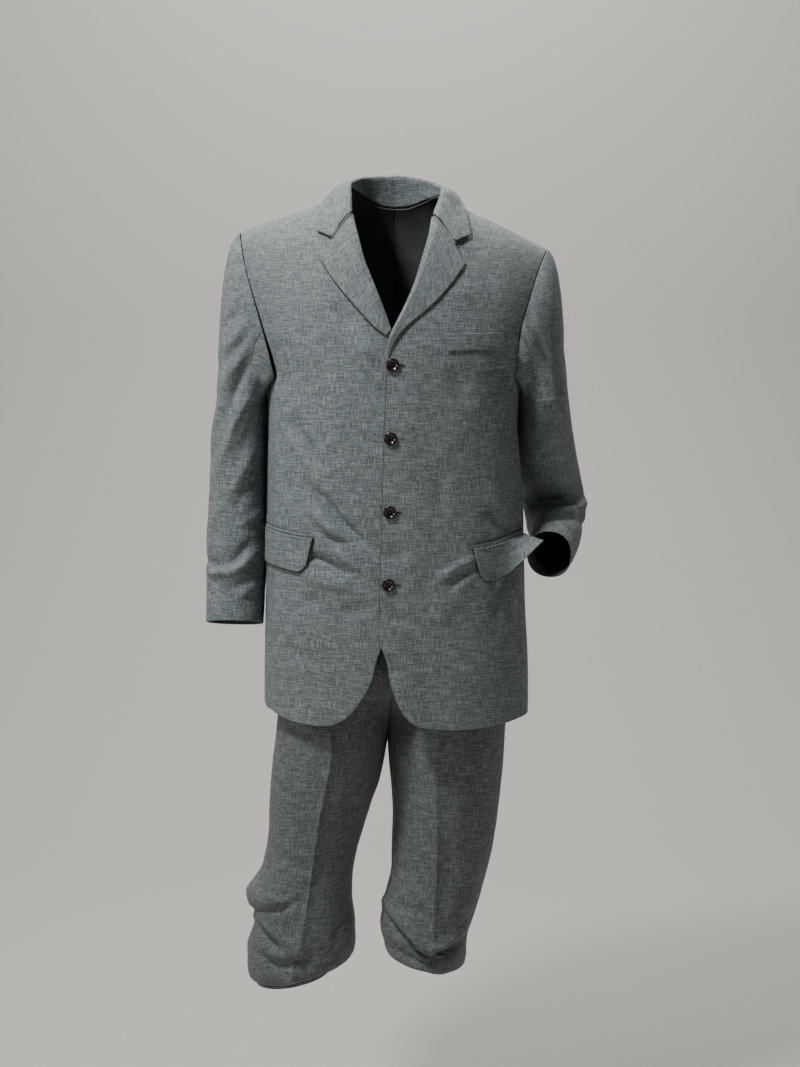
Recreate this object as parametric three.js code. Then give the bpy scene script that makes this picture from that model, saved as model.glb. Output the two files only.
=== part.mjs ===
// Knickerbocker suit: four-button jacket and full knee breeches, in the
// hollow form they have when worn. Units are millimetres. +Z is up, the front
// faces -Y, the wearer's left is +X. The origin is the middle of the neck
// opening, level with the two points where shoulder seam and collar meet.
import * as THREE from 'three';

// ---------------------------------------------------------------- sizes
const WALL = 2.0;          // jacket cloth with its canvas, pressed
const LEG_WALL = 1.5;      // trouser cloth
const GAP = 0.3;           // between pieces at a seam
const CHEST_Z = -300;      // underarm level, where rings turn into shoulders
const SQUARE = 2.4;        // how square the body rings are
const ARCH = 2.2;          // how square the shoulders are, seen from the side
const RIDGE_Y = 4;         // shoulder seams lie this far behind the origin
const TOP_HALF = 268;      // half width the chest rings grow to at the shoulders
const SIDE_S = 66;         // front / side body seam, degrees round the ring
const BACK_S = 112;        // side body / back seam
const UNDERARM_DROP = 16;  // armhole bottom below the underarm level
const LAP = 2.7;           // how far the left front lies over the right
const BUTTON_D = 20, BUTTON_T = 4.2, CUFF_BUTTON_D = 14, CUFF_BUTTON_T = 3.6;
const CUFF_BUTTON_AT = [27, 44, 61];   // from the sleeve end
const FLAP_DROP = 53, JET = 5, WELT_T = 2.2;
const SLEEVE_FRONT_SEAM = 118, SLEEVE_BACK_SEAM = -75;   // degrees round a sleeve

// body rings: half widths to the wearer's right and left, depth front and back
const BODY = [
  { z: -840, aR: 208, aL: 211, bf: 146, bb: 152 },
  { z: -730, aR: 206, aL: 210, bf: 148, bb: 150 },
  { z: -640, aR: 204, aL: 205, bf: 149, bb: 146 },
  { z: -545, aR: 201.5, aL: 203, bf: 149, bb: 134 },
  { z: -500, aR: 201, aL: 202, bf: 149, bb: 126 },
  { z: -440, aR: 200, aL: 197, bf: 149, bb: 120 },
  { z: -370, aR: 199, aL: 192, bf: 150, bb: 124 },
  { z: -300, aR: 197, aL: 197, bf: 149, bb: 128 },
];
// shoulder line: height over distance from the middle
const SHOULDER = [
  { x: 0, R: 8, L: 8 }, { x: 40, R: 4, L: 1 }, { x: 70, R: -6, L: -13 }, { x: 96, R: -20, L: -29 },
  { x: 120, R: -31, L: -42 }, { x: 150, R: -42, L: -55 }, { x: 195, R: -57, L: -76 },
  { x: 240, R: -74, L: -99 }, { x: 262, R: -84, L: -112 },
];
// front armhole seam, and the edge where the fronts open (roll line, then edge)
const ARMHOLE = [
  { z: -300, R: 182.7, L: 182.7 }, { z: -262, R: 191, L: 185.5 }, { z: -220, R: 202.5, L: 193 },
  { z: -180, R: 214.5, L: 205 }, { z: -135, R: 227.5, L: 220 }, { z: -99, R: 235, L: 235.5 },
  { z: -74, R: 240, L: 238 },
];
const BACK_ARMHOLE = [
  { z: -300, R: 184.9, L: 184.9 }, { z: -250, R: 193, L: 190 }, { z: -180, R: 211, L: 204 },
  { z: -120, R: 229, L: 226 }, { z: -99, R: 235, L: 235.5 }, { z: -74, R: 240, L: 238 },
];
const OPENING = [
  { z: -704, R: 20, L: -20 }, { z: -650, R: 3, L: -24 }, { z: -600, R: -7, L: -23 },
  { z: -500, R: -13, L: -20 }, { z: -400, R: -15, L: -17 }, { z: -300, R: -16, L: -13 },
  { z: -275, R: -11, L: -11.5 }, { z: -244, R: 4, L: -4.5 }, { z: -222, R: 12, L: 6 },
  { z: -200, R: 20, L: 17 }, { z: -162, R: 35, L: 33 }, { z: -128, R: 48, L: 43 },
  { z: -89, R: 58, L: 54 }, { z: -61, R: 65, L: 59 }, { z: -32, R: 67, L: 68 },
  { z: 6, R: 68, L: 73 },
];
// hem of each front from the cutaway round to the side seam
const HEM = {
  R: [[20, -704], [28, -728], [36, -759], [49, -783], [69, -810], [90, -823], [110, -827],
    [140, -826], [172, -820], [192, -813]],
  L: [[-20, -704], [-11, -732], [-5, -765], [6, -794], [20, -815], [38, -826], [72, -831],
    [114, -832], [152, -830], [195, -825]],
};
const HEM_SIDE = { R: -794, L: -823 }, HEM_BACK = -812;
// drag folds of the fronts: a straight ridge (depth > 0) or trough, half width
const FRONT_FOLDS = [
  { side: 'R', xa: 120, za: -400, xb: 22, zb: -590, wide: 16, depth: 3.2 },
  { side: 'R', xa: 100, za: -560, xb: 42, zb: -600, wide: 13, depth: -2.6 },
  { side: 'L', xa: 118, za: -585, xb: 66, zb: -650, wide: 15, depth: 3.0 },
  { side: 'L', xa: 158, za: -610, xb: 150, zb: -700, wide: 14, depth: -2.8 },
];
// pockets and buttons, by height and distance from the middle
const WELT = { x0: 74, x1: 163, z0: -265, z1: -240, slope: 0.055 };
const BUTTONS = [
  { x: -3, z: -286 }, { x: -6, z: -394 }, { x: -7, z: -503 }, { x: -9.5, z: -611 },
];
const FLAP_R = { s0: 33, s1: 77, z0: -543, z1: -530 };
const FLAP_L = { s0: 31, s1: 73, z0: -559, z1: -541, tipX: 226, tipY: -101, tipZ: -549 };

// straight right sleeve and bent left sleeve: centre, half width, half depths
const SLEEVE_R = [
  { x: -240, y: 8, z: -335, a: 38.5, f: 76, b: 76 },
  { x: -246, y: 14, z: -425, a: 42.5, f: 72, b: 72 },
  { x: -249, y: 12, z: -500, a: 44, f: 67, b: 67 },
  { x: -250.5, y: 6, z: -560, a: 45.5, f: 62, b: 62 },
  { x: -251.5, y: -4, z: -620, a: 44.5, f: 57, b: 57 },
  { x: -252.5, y: -16, z: -684, a: 42.5, f: 53, b: 53 },
];
const SLEEVE_L = [
  { x: 233.8, y: 8, z: -332, a: 37.2, f: 73, b: 76 },
  { x: 237, y: 28, z: -374, a: 42, f: 66, b: 72 },
  { x: 243.5, y: 60, z: -422, a: 47.5, f: 54, b: 63 },
];
// elbow: sections swing about a pivot at the crook of the arm
const ELBOW = { x: 254, y: 52, z: -492, r: 47, turn: 95 };
const ELBOW_ROWS = [
  { t: 0, dx: -9, a: 49, f: 39, b: 55 }, { t: 0.33, dx: -6, a: 50, f: 37, b: 55 },
  { t: 0.66, dx: -3, a: 48, f: 37, b: 52 }, { t: 1, dx: -1, a: 43, f: 39, b: 48 },
];
const FOREARM_L = [
  { x: 260, y: 43, z: -545, a: 38, f: 40, b: 45 },
  { x: 252, y: 4, z: -560, a: 35.5, f: 39, b: 42 },
  { x: 241, y: -34, z: -574, a: 33.5, f: 38, b: 39 },
];
const UPPER_DIR = new THREE.Vector3(0.17, 0.454, -0.875).normalize();
const FORE_DIR = new THREE.Vector3(-0.22, -0.9, -0.37).normalize();

// breeches: outer and inner edge of each leg, half depth, crease position
const PELVIS = [
  { z: -790, a: 184, bf: 122, bb: 128 }, { z: -700, a: 184, bf: 124, bb: 129 },
  { z: -640, a: 180, bf: 126, bb: 128 }, { z: -560, a: 171, bf: 124, bb: 118 },
  { z: -488, a: 158, bf: 117, bb: 107 },
];
const LEG_R = [
  { z: -1262, o: -237, i: -67, b: 88, c: -172 }, { z: -1225, o: -237, i: -65, b: 91, c: -163 },
  { z: -1200, o: -234, i: -64.6, b: 93, c: -152 }, { z: -1160, o: -228, i: -67, b: 92, c: -144 },
  { z: -1119, o: -237, i: -69, b: 90, c: -136 }, { z: -1080, o: -214, i: -66, b: 86, c: -130 },
  { z: -1040, o: -204.5, i: -58.5, b: 86, c: -125 }, { z: -974, o: -201, i: -38, b: 95, c: -115 },
  { z: -932, o: -197, i: -24, b: 100, c: -106 }, { z: -853, o: -189, i: -12, b: 107, c: -92 },
  { z: -760, o: -186, i: -11.6, b: 112, c: -82 },
];
const LEG_L = [
  { z: -1262, o: 108, i: 8, b: 76, c: 57 }, { z: -1225, o: 111, i: 3, b: 79, c: 58 },
  { z: -1203, o: 116, i: -15, b: 84, c: 59 }, { z: -1168, o: 123, i: -24, b: 86, c: 59 },
  { z: -1133, o: 134, i: -18, b: 86, c: 61 }, { z: -1085, o: 147, i: -6, b: 86, c: 63 },
  { z: -1048, o: 155.6, i: -5, b: 88, c: 64.5 }, { z: -974, o: 166, i: -5, b: 96, c: 64 },
  { z: -899, o: 172.5, i: -9, b: 103, c: 62 }, { z: -853, o: 174, i: -11, b: 107, c: 60 },
  { z: -760, o: 177, i: -11.1, b: 112, c: 58 },
];
const RIM = { R: { z: -1240, x: -150, slope: 0.17 }, L: { z: -1228, x: 60, slope: -0.13 } };
// turn of the leg under the knee: height above the rim, share of the way to the band
const TURN = [
  { h: 26, k: 0.0 }, { h: 12, k: 0.04 }, { h: 4, k: 0.17 }, { h: 0, k: 0.42 },
  { h: 2, k: 0.72 }, { h: 9, k: 0.96 },
];
const BAND = {
  R: { x: -163, y: -8, a: 60, b: 63, top: -1222, low: -1254 },
  L: { x: 57, y: -4, a: 43, b: 64, top: -1200, low: -1226 },
};
const BAND_T = 2.4;
const FORK_TOP = -730, FORK_LOW = -890;   // heights between which the legs part
const WAIST = { top: -449, low: -486, a0: 153, a1: 157, f0: 113, f1: 116, b0: 103, b1: 106 };

// ---------------------------------------------------------------- helpers
const RAD = Math.PI / 180;
const lerp = (a, b, t) => a + (b - a) * t;
const clamp = (x, a, b) => Math.min(b, Math.max(a, x));
const smooth = (a, b, x) => { const t = clamp((x - a) / (b - a), 0, 1); return t * t * (3 - 2 * t); };
const spow = (v, p) => Math.sign(v) * Math.pow(Math.abs(v), p);
const steps = (n, a = 0, b = 1) => Array.from({ length: n + 1 }, (_, i) => lerp(a, b, i / n));

// smooth curve through one column of a table that is sorted by its key
function look(rows, key, col, x) {
  const n = rows.length;
  if (x <= rows[0][key]) return rows[0][col];
  if (x >= rows[n - 1][key]) return rows[n - 1][col];
  let i = 0;
  while (x > rows[i + 1][key]) i++;
  const slope = (k) => {
    if (k <= 0) return (rows[1][col] - rows[0][col]) / (rows[1][key] - rows[0][key]);
    if (k >= n - 1) return (rows[n - 1][col] - rows[n - 2][col]) / (rows[n - 1][key] - rows[n - 2][key]);
    return (rows[k + 1][col] - rows[k - 1][col]) / (rows[k + 1][key] - rows[k - 1][key]);
  };
  const h = rows[i + 1][key] - rows[i][key], t = (x - rows[i][key]) / h;
  const t2 = t * t, t3 = t2 * t;
  return (2 * t3 - 3 * t2 + 1) * rows[i][col] + (t3 - 2 * t2 + t) * h * slope(i)
    + (3 * t2 - 2 * t3) * rows[i + 1][col] + (t3 - t2) * h * slope(i + 1);
}

// closed wall: the outer face is f(u, v), the inner face lies t behind it.
// round: the columns close on themselves.
function wall(f, us, vs, t, { round = false, flip = false, grow = 0, vMax = 1e9 } = {}) {
  const e = 1e-3, P = [], Q = [];
  for (const u of us) {
    for (const v of vs) {
      const p = f(u, v), du = f(u + e, v).sub(f(u - e, v)), dv = f(u, Math.min(v + e, vMax)).sub(f(u, v - e));
      const n = du.cross(dv).normalize().multiplyScalar(flip ? -1 : 1);
      P.push(p.clone().addScaledVector(n, grow));
      Q.push(p.clone().addScaledVector(n, grow - t));
    }
  }
  return gridSolid(P, Q, us.length, vs.length, round, flip);
}
function gridSolid(P, Q, nu, nv, round, flip) {
  const all = [...P, ...Q], off = P.length, idx = [];
  const at = (i, j) => (i % nu) * nv + j;
  const quad = (a, b, c, d) => { if (flip) idx.push(a, c, b, a, d, c); else idx.push(a, b, c, a, c, d); };
  const nI = round ? nu : nu - 1;
  for (let i = 0; i < nI; i++) {
    for (let j = 0; j < nv - 1; j++) {
      quad(at(i, j), at(i + 1, j), at(i + 1, j + 1), at(i, j + 1));
      quad(off + at(i, j), off + at(i, j + 1), off + at(i + 1, j + 1), off + at(i + 1, j));
    }
    quad(at(i, 0), off + at(i, 0), off + at(i + 1, 0), at(i + 1, 0));
    quad(at(i, nv - 1), at(i + 1, nv - 1), off + at(i + 1, nv - 1), off + at(i, nv - 1));
  }
  if (!round) {
    for (let j = 0; j < nv - 1; j++) {
      quad(at(0, j), at(0, j + 1), off + at(0, j + 1), off + at(0, j));
      quad(at(nu - 1, j), off + at(nu - 1, j), off + at(nu - 1, j + 1), at(nu - 1, j + 1));
    }
  }
  const g = new THREE.BufferGeometry();
  g.setAttribute('position', new THREE.Float32BufferAttribute(all.flatMap((p) => [p.x, p.y, p.z]), 3));
  g.setIndex(idx);
  g.computeVertexNormals();
  return g;
}

const CLOTH = { color: 0x6f7a80, roughness: 0.85, metalness: 0 };
const CLOTH_DARK = { color: 0x5f6a70, roughness: 0.88, metalness: 0 };
const HORN = { color: 0x2c1513, roughness: 0.25, metalness: 0 };
const suit = new THREE.Group();
function add(name, geometry, look = CLOTH) {
  const mesh = new THREE.Mesh(geometry, new THREE.MeshStandardMaterial(look));
  mesh.name = name;
  suit.add(mesh);
  return mesh;
}

// ---------------------------------------------------------------- jacket body
const SIDES = [['R', -1], ['L', 1]];
const colA = { R: 'aR', L: 'aL' };
const seamX = (k, z) => look(BODY, 'z', colA[k], z) * Math.pow(Math.sin(SIDE_S * RAD), 2 / SQUARE);

function foldLift(k, X, z) {
  let d = 0;
  for (const f of FRONT_FOLDS) {
    if (f.side !== k) continue;
    const ax = f.xb - f.xa, az = f.zb - f.za, len = Math.hypot(ax, az);
    const t = ((X - f.xa) * ax + (z - f.za) * az) / (len * len);
    const across = ((X - f.xa) * az - (z - f.za) * ax) / len;
    const end = smooth(-0.25, 0.2, t) * (1 - smooth(0.8, 1.25, t));
    d += f.depth * end * Math.exp(-(across * across) / (f.wide * f.wide));
  }
  return d * smooth(12, 46, X);
}
// y of the front cloth at distance X towards its own side and height z
function frontY(k, X, z) {
  let y;
  if (z <= CHEST_Z) {
    const q = Math.min(Math.abs(X) / look(BODY, 'z', colA[k], z), 0.9999);
    y = -look(BODY, 'z', 'bf', z) * Math.pow(1 - Math.pow(q, SQUARE), 1 / SQUARE);
  } else {
    const xi = look(OPENING, 'z', k, z), xo = look(ARMHOLE, 'z', k, z);
    const top = look(SHOULDER, 'x', k, lerp(68, 240, (X - xi) / (xo - xi)));
    const w = clamp((z - CHEST_Z) / (top - CHEST_Z), 0, 1);
    const q = Math.min(Math.abs(X) / lerp(197, TOP_HALF, w), 0.9999);
    const deep = 149 * Math.pow(1 - Math.pow(q, SQUARE), 1 / SQUARE);
    y = RIDGE_Y * w * w - deep * Math.pow(Math.max(0, 1 - Math.pow(w, ARCH)), 1 / ARCH);
  }
  if (k === 'L') y -= LAP * (1 - smooth(16, 56, X)) * (1 - smooth(-238, -205, z));
  return y - foldLift(k, X, z);
}
// chord-wise point of a hem list
function along(list, u) {
  const d = [0];
  for (let i = 1; i < list.length; i++) d.push(d[i - 1] + Math.hypot(list[i][0] - list[i - 1][0], list[i][1] - list[i - 1][1]));
  const rows = list.map((p, i) => ({ d: d[i] / d[d.length - 1], x: p[0], z: p[1] }));
  return [look(rows, 'd', 'x', u), look(rows, 'd', 'z', u)];
}
// height share of the shoulder arch: v runs from 1 to 2 by equal angles
const archW = (v, full = Math.PI / 2) => Math.pow(Math.sin(Math.min(v - 1, 1) * full), 2 / ARCH);
// v from 0 at the hem to 1 at the underarm level, then to 2 at the shoulder seam
function frontPoint(k, sgn, u, v) {
  let X, z;
  const uc = clamp(u, -0.02, 1.02);
  if (v <= 1) {
    const [hx, hz] = along(HEM[k], clamp(uc, 0, 1));
    const xi0 = look(OPENING, 'z', k, CHEST_Z), xo0 = seamX(k, CHEST_Z);
    z = lerp(hz, CHEST_Z, v);
    const vi = clamp((z + 704) / (CHEST_Z + 704), 0, 1);
    X = lerp(hx, lerp(xi0, xo0, clamp(uc, 0, 1)), v) + (uc - clamp(uc, 0, 1)) * 200;
    X += (look(OPENING, 'z', k, z) - lerp(HEM[k][0][0], xi0, vi)) * Math.pow(1 - clamp(uc, 0, 1), 4) * smooth(-720, -690, z);
    const hs = HEM[k][HEM[k].length - 1];
    X += (seamX(k, z) - lerp(hs[0], xo0, v)) * Math.pow(clamp(uc, 0, 1), 3);
  } else {
    const w = archW(v);
    const top = look(SHOULDER, 'x', k, lerp(68, 240, uc));
    z = lerp(CHEST_Z, top, w);
    const xi = look(OPENING, 'z', k, z), xo = look(ARMHOLE, 'z', k, z);
    X = lerp(xi, xo, uc);
  }
  return new THREE.Vector3(sgn * X, frontY(k, X, z), z);
}
function ringPoint(k, sgn, s, z) {
  const a = look(BODY, 'z', colA[k], z), b = look(BODY, 'z', Math.cos(s) > 0 ? 'bf' : 'bb', z);
  return new THREE.Vector3(sgn * a * spow(Math.sin(s), 2 / SQUARE), -b * spow(Math.cos(s), 2 / SQUARE), z);
}
const sideTop = (s) => CHEST_Z - UNDERARM_DROP * Math.sin(Math.PI * (s - SIDE_S) / (BACK_S - SIDE_S));
function sidePoint(k, sgn, s, v) {
  const t = (s - SIDE_S) / (BACK_S - SIDE_S);
  const low = lerp(HEM[k][HEM[k].length - 1][1], HEM_SIDE[k], smooth(0, 1, t));
  return ringPoint(k, sgn, s * RAD, lerp(low, sideTop(s), v));
}
// back: u from the centre seam to the armhole, v as on the front
function backPoint(k, sgn, u, v) {
  const s = lerp(180, BACK_S, u);
  if (v <= 1) {
    const low = lerp(HEM_BACK, HEM_SIDE[k], smooth(0.1, 1, u));
    return ringPoint(k, sgn, s * RAD, lerp(low, CHEST_Z, v));
  }
  const ring = Math.abs(ringPoint(k, 1, s * RAD, CHEST_Z).x) / 184.9;   // share of the way out
  const xt = lerp(0, 240, ring), top = look(SHOULDER, 'x', k, xt);
  const neck = 66 * Math.sqrt(Math.max(0, 1 - (xt / 70) ** 2));
  const deepTop = 128;
  const wTop = Math.pow(1 - Math.pow(neck / deepTop, ARCH), 1 / ARCH);
  const w = archW(v, Math.asin(Math.pow(wTop, ARCH / 2)));
  const z = lerp(CHEST_Z, top, w), X = ring * look(BACK_ARMHOLE, 'z', k, z);
  const q = Math.min(Math.abs(X) / lerp(197, TOP_HALF, w), 0.9999);
  const deep = deepTop * Math.pow(1 - Math.pow(q, SQUARE), 1 / SQUARE);
  const y = RIDGE_Y * w * w + deep * Math.pow(Math.max(0, 1 - Math.pow(w, ARCH)), 1 / ARCH);
  return new THREE.Vector3(sgn * X, y, z);
}

function backY(k, X, z) {
  const share = Math.min(1, Math.abs(X) / look(BACK_ARMHOLE, 'z', k, z)), top = look(SHOULDER, 'x', k, 240 * share);
  const w = clamp((z - CHEST_Z) / (top - CHEST_Z), 0, 1);
  const q = Math.min(Math.abs(X) / lerp(197, TOP_HALF, w), 0.9999);
  return RIDGE_Y * w * w + 128 * Math.pow(1 - Math.pow(q, SQUARE), 1 / SQUARE) * Math.pow(Math.max(0, 1 - Math.pow(w, ARCH)), 1 / ARCH);
}
const easeOut = (n, p) => steps(n).map((t) => 1 - Math.pow(1 - t, p));
const inset = (list, a, b) => list.map((t, i) => (i === 0 ? t + a : i === list.length - 1 ? t - b : t));
const bodyRows = [0, 0.07, 0.15, 0.25, 0.37, 0.5, 0.64, 0.78, 0.9, 1];
const archRows = [1.13, 1.26, 1.39, 1.51, 1.63, 1.74, 1.84, 1.93];
for (const [k, sgn] of SIDES) {
  const low = k.toLowerCase(), flip = sgn < 0;
  add(`jacket_front_${low}`, wall((u, v) => frontPoint(k, sgn, u, v),
    inset(easeOut(10, 1.25), 0, 0.0012), [...bodyRows, ...archRows, 1.9996], WALL, { flip, vMax: 2 }), CLOTH);
  add(`jacket_side_${low}`, wall((s, v) => sidePoint(k, sgn, s, v),
    inset(steps(4, SIDE_S, BACK_S), 0.06, 0.05), [...bodyRows.slice(0, -1), 0.998], WALL, { flip }), CLOTH_DARK);
  add(`jacket_back_${low}`, wall((u, v) => backPoint(k, sgn, 1 - u, v),
    inset(steps(7), 0.0012, 0.0015), [...bodyRows, 1.15, 1.3, 1.45, 1.6, 1.74, 1.87, 1.9996], WALL, { flip, vMax: 2 }), CLOTH);
}

// ---------------------------------------------------------------- sleeves
// armhole loop: 0 at the shoulder tip, 90 front, 180 underarm, 270 back
function armhole(k, sgn, deg) {
  const d = ((deg % 360) + 360) % 360, turn = 142;
  if (d <= turn) return frontPoint(k, sgn, 1, 2 - d / turn);
  if (d >= 360 - turn) return backPoint(k, sgn, 1, 2 - (360 - d) / turn);
  const s = lerp(SIDE_S, BACK_S, (d - turn) / (360 - 2 * turn));
  return sidePoint(k, sgn, s, 1);
}
function stations(k, sgn) {
  const mk = (r, dir) => ({ c: new THREE.Vector3(r.x, r.y, r.z), dir, a: r.a, f: r.f, b: r.b });
  if (k === 'R') {
    return SLEEVE_R.map((r, i) => {
      const p = SLEEVE_R[Math.max(0, i - 1)], q = SLEEVE_R[Math.min(SLEEVE_R.length - 1, i + 1)];
      return mk(r, new THREE.Vector3(q.x - p.x, q.y - p.y, q.z - p.z).normalize());
    });
  }
  const down = new THREE.Vector3(0.12, 0.1, -1).normalize();
  const out = SLEEVE_L.map((r, i) => mk(r, down.clone().lerp(UPPER_DIR, i / 2).normalize()));
  const away = FORE_DIR.clone().addScaledVector(UPPER_DIR, -FORE_DIR.dot(UPPER_DIR)).normalize().negate();
  for (const row of ELBOW_ROWS) {
    const q = ELBOW.turn * row.t * RAD;
    const n = away.clone().multiplyScalar(Math.cos(q)).addScaledVector(UPPER_DIR, Math.sin(q));
    const dir = UPPER_DIR.clone().multiplyScalar(Math.cos(q)).addScaledVector(away, -Math.sin(q));
    const c = new THREE.Vector3(ELBOW.x + row.dx, ELBOW.y, ELBOW.z).addScaledVector(n, ELBOW.r);
    out.push({ c, dir, a: row.a, f: row.f, b: row.b });
  }
  return [...out, ...FOREARM_L.map((r) => mk(r, FORE_DIR.clone()))];
}
const STATIONS = { R: stations('R', -1), L: stations('L', 1) };
function sectionPoint(st, sgn, deg) {
  const th = deg * RAD, n = 2 / 2.2;
  const ex = new THREE.Vector3(sgn, 0, 0).addScaledVector(st.dir, -st.dir.x * sgn).normalize();
  const ef = st.dir.clone().cross(ex).multiplyScalar(sgn);
  const s = Math.sin(th);
  return st.c.clone().addScaledVector(ex, st.a * spow(Math.cos(th), n))
    .addScaledVector(ef, (s > 0 ? st.f : st.b) * spow(s, n));
}
// v: 0 at the armhole, 1 at the first station, then one unit a station
function sleevePoint(k, sgn, deg, v) {
  const S = STATIONS[k];
  if (v <= 1) {
    const A = armhole(k, sgn, deg), B = sectionPoint(S[0], sgn, deg);
    const c = (1 + Math.cos(deg * RAD)) / 2;
    A.x += sgn * (0.5 + 1.6 * (1 - c) * (1 - c));
    A.z += 1.2 * (1 - c) * (1 - c);
    const far = A.distanceTo(B);
    const T0 = new THREE.Vector3(sgn * (0.8 + 0.2 * c), -0.35 * Math.sin(deg * RAD), -0.9 + 0.1 * c).normalize().multiplyScalar(far * (1.05 - 0.6 * c));
    const T1 = S[0].dir.clone().multiplyScalar(far * 1.15);
    const t = v, t2 = t * t, t3 = t2 * t;
    return A.multiplyScalar(2 * t3 - 3 * t2 + 1).addScaledVector(T0, t3 - 2 * t2 + t)
      .addScaledVector(B, 3 * t2 - 2 * t3).addScaledVector(T1, t3 - t2);
  }
  const i = Math.min(S.length - 2, Math.floor(v - 1)), t = v - 1 - i;
  const P = [Math.max(0, i - 1), i, i + 1, Math.min(S.length - 1, i + 2)].map((j) => sectionPoint(S[j], sgn, deg));
  const t2 = t * t, t3 = t2 * t;
  return P[0].multiplyScalar(0.5 * (-t3 + 2 * t2 - t)).addScaledVector(P[1], 0.5 * (3 * t3 - 5 * t2 + 2))
    .addScaledVector(P[2], 0.5 * (-3 * t3 + 4 * t2 + t)).addScaledVector(P[3], 0.5 * (t3 - t2));
}
for (const [k, sgn] of SIDES) {
  const low = k.toLowerCase(), last = STATIONS[k].length;
  const head = [0.006, 0.11, 0.25, 0.42, 0.61, 0.8];
  const rows = [...head, ...steps(k === 'R' ? 9 : 12, 1, last)];
  const f = (deg, v) => sleevePoint(k, sgn, deg, v);
  add(`topsleeve_${low}`, wall(f, inset(steps(8, SLEEVE_BACK_SEAM, SLEEVE_FRONT_SEAM), 0.16, 0.16), rows, WALL, { flip: sgn > 0 }), CLOTH);
  add(`undersleeve_${low}`, wall(f, inset(steps(5, SLEEVE_FRONT_SEAM, 360 + SLEEVE_BACK_SEAM), 0.16, 0.16), rows, WALL, { flip: sgn > 0 }), CLOTH_DARK);
}

// ---------------------------------------------------------------- lapels and collar
// a point on the front, lifted off it along its own normal
function onFront(k, sgn, X, z, lift) {
  const e = 0.5, y = frontY(k, X, z);
  const dx = (frontY(k, X + e, z) - frontY(k, X - e, z)) / (2 * e), dz = (y - frontY(k, X, z - e)) / e;
  const n = new THREE.Vector3(sgn * dx, -1, dz).normalize();
  return new THREE.Vector3(sgn * X, y, z).addScaledVector(n, lift);
}
// outer edge of each lapel from the top button up to its point
const LAPEL = {
  R: [{ t: 0, x: 13, z: -242 }, { t: 0.2, x: 31, z: -228 }, { t: 0.4, x: 53, z: -204 },
    { t: 0.6, x: 73, z: -181 }, { t: 0.8, x: 92, z: -156 }, { t: 1, x: 109.5, z: -129 }],
  L: [{ t: 0, x: -12.5, z: -271 }, { t: 0.2, x: 10, z: -237 }, { t: 0.4, x: 35, z: -214 },
    { t: 0.6, x: 59, z: -193 }, { t: 0.8, x: 83, z: -166 }, { t: 1, x: 104.6, z: -135 }],
};
const ROLL_Z = { R: [-236, -58], L: [-247, -62] };        // roll line, bottom and top
const GORGE = { R: { r: 0.6, x: 92.5, z: -96 }, L: { r: 0.64, x: 88.6, z: -104 } };
function lapelPoint(k, sgn, t, r) {
  const zr = lerp(ROLL_Z[k][0], ROLL_Z[k][1], t), xr = look(OPENING, 'z', k, zr) - 1;
  const xe = look(LAPEL[k], 't', 'x', t), ze = look(LAPEL[k], 't', 'z', t), g = GORGE[k];
  const bend = (r < g.r ? r / g.r : (1 - r) / (1 - g.r)) * smooth(0.8, 1, t);
  const x1 = LAPEL[k][5].x, z1 = LAPEL[k][5].z, xt = look(OPENING, 'z', k, ROLL_Z[k][1]) - 1;
  const X = lerp(xr, xe, r) + bend * (g.x - lerp(xt, x1, g.r));
  const z = lerp(zr, ze, r) + bend * (g.z - lerp(ROLL_Z[k][1], z1, g.r));
  const lift = 2.9 + 2.3 * smooth(0, 0.1, r) - 1.3 * smooth(0.35, 1, r);
  return onFront(k, sgn, X, z, lift);
}
// collar from the middle of the back (p = 0) to the gorge (p = 1): f is the
// fold, b the sewn lower edge of the stand, e the free edge of the fall
const COLLAR_BACK = [
  { p: 0, fx: 0, fy: 60, fz: 23, bx: 0, by: 68, bz: -25.2, ex: 0, ey: 71.5, ez: -27 },
  { p: 0.15, fx: 22, fy: 57, fz: 22, bx: 25, by: 63.6, bz: -21.4, ex: 33, ey: 67.5, ez: -27 },
  { p: 0.3, fx: 42, fy: 47, fz: 19, bx: 45, by: 50.3, bz: -12, ex: 64, ey: 58, ez: -27 },
  { p: 0.45, fx: 57, fy: 29, fz: 14, bx: 60, by: 30, bz: -6, ex: 88, ey: 37, ez: -23 },
  { p: 0.6, fx: 67, fy: 2, fz: 5, bx: 69, by: 3, bz: -3.5, ex: 102, ey: 6, ez: -15 },
];
const COLLAR_FRONT = {
  R: [{ p: 0.6, z: 5, x: 102, ez: -17, lift: 8 }, { p: 0.7, z: -16, x: 107, ez: -32, lift: 6.8 },
    { p: 0.8, z: -28, x: 111, ez: -48, lift: 4.9 }, { p: 0.9, z: -42, x: 114.5, ez: -66, lift: 4.5 },
    { p: 1, z: -56, x: 116.8, ez: -84.5, lift: 4.0 }],
  L: [{ p: 0.6, z: -4, x: 102, ez: -27, lift: 7 }, { p: 0.7, z: -23, x: 104, ez: -42, lift: 8.4 },
    { p: 0.8, z: -33, x: 107, ez: -58, lift: 4.8 }, { p: 0.9, z: -46, x: 110, ez: -74, lift: 4.4 },
    { p: 1, z: -60, x: 112.6, ez: -90, lift: 4.4 }],
};
const COLLAR_NOTCH = { R: { t: 0.52, dz: -23.5 }, L: { t: 0.55, dz: -25.5 } };
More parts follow.
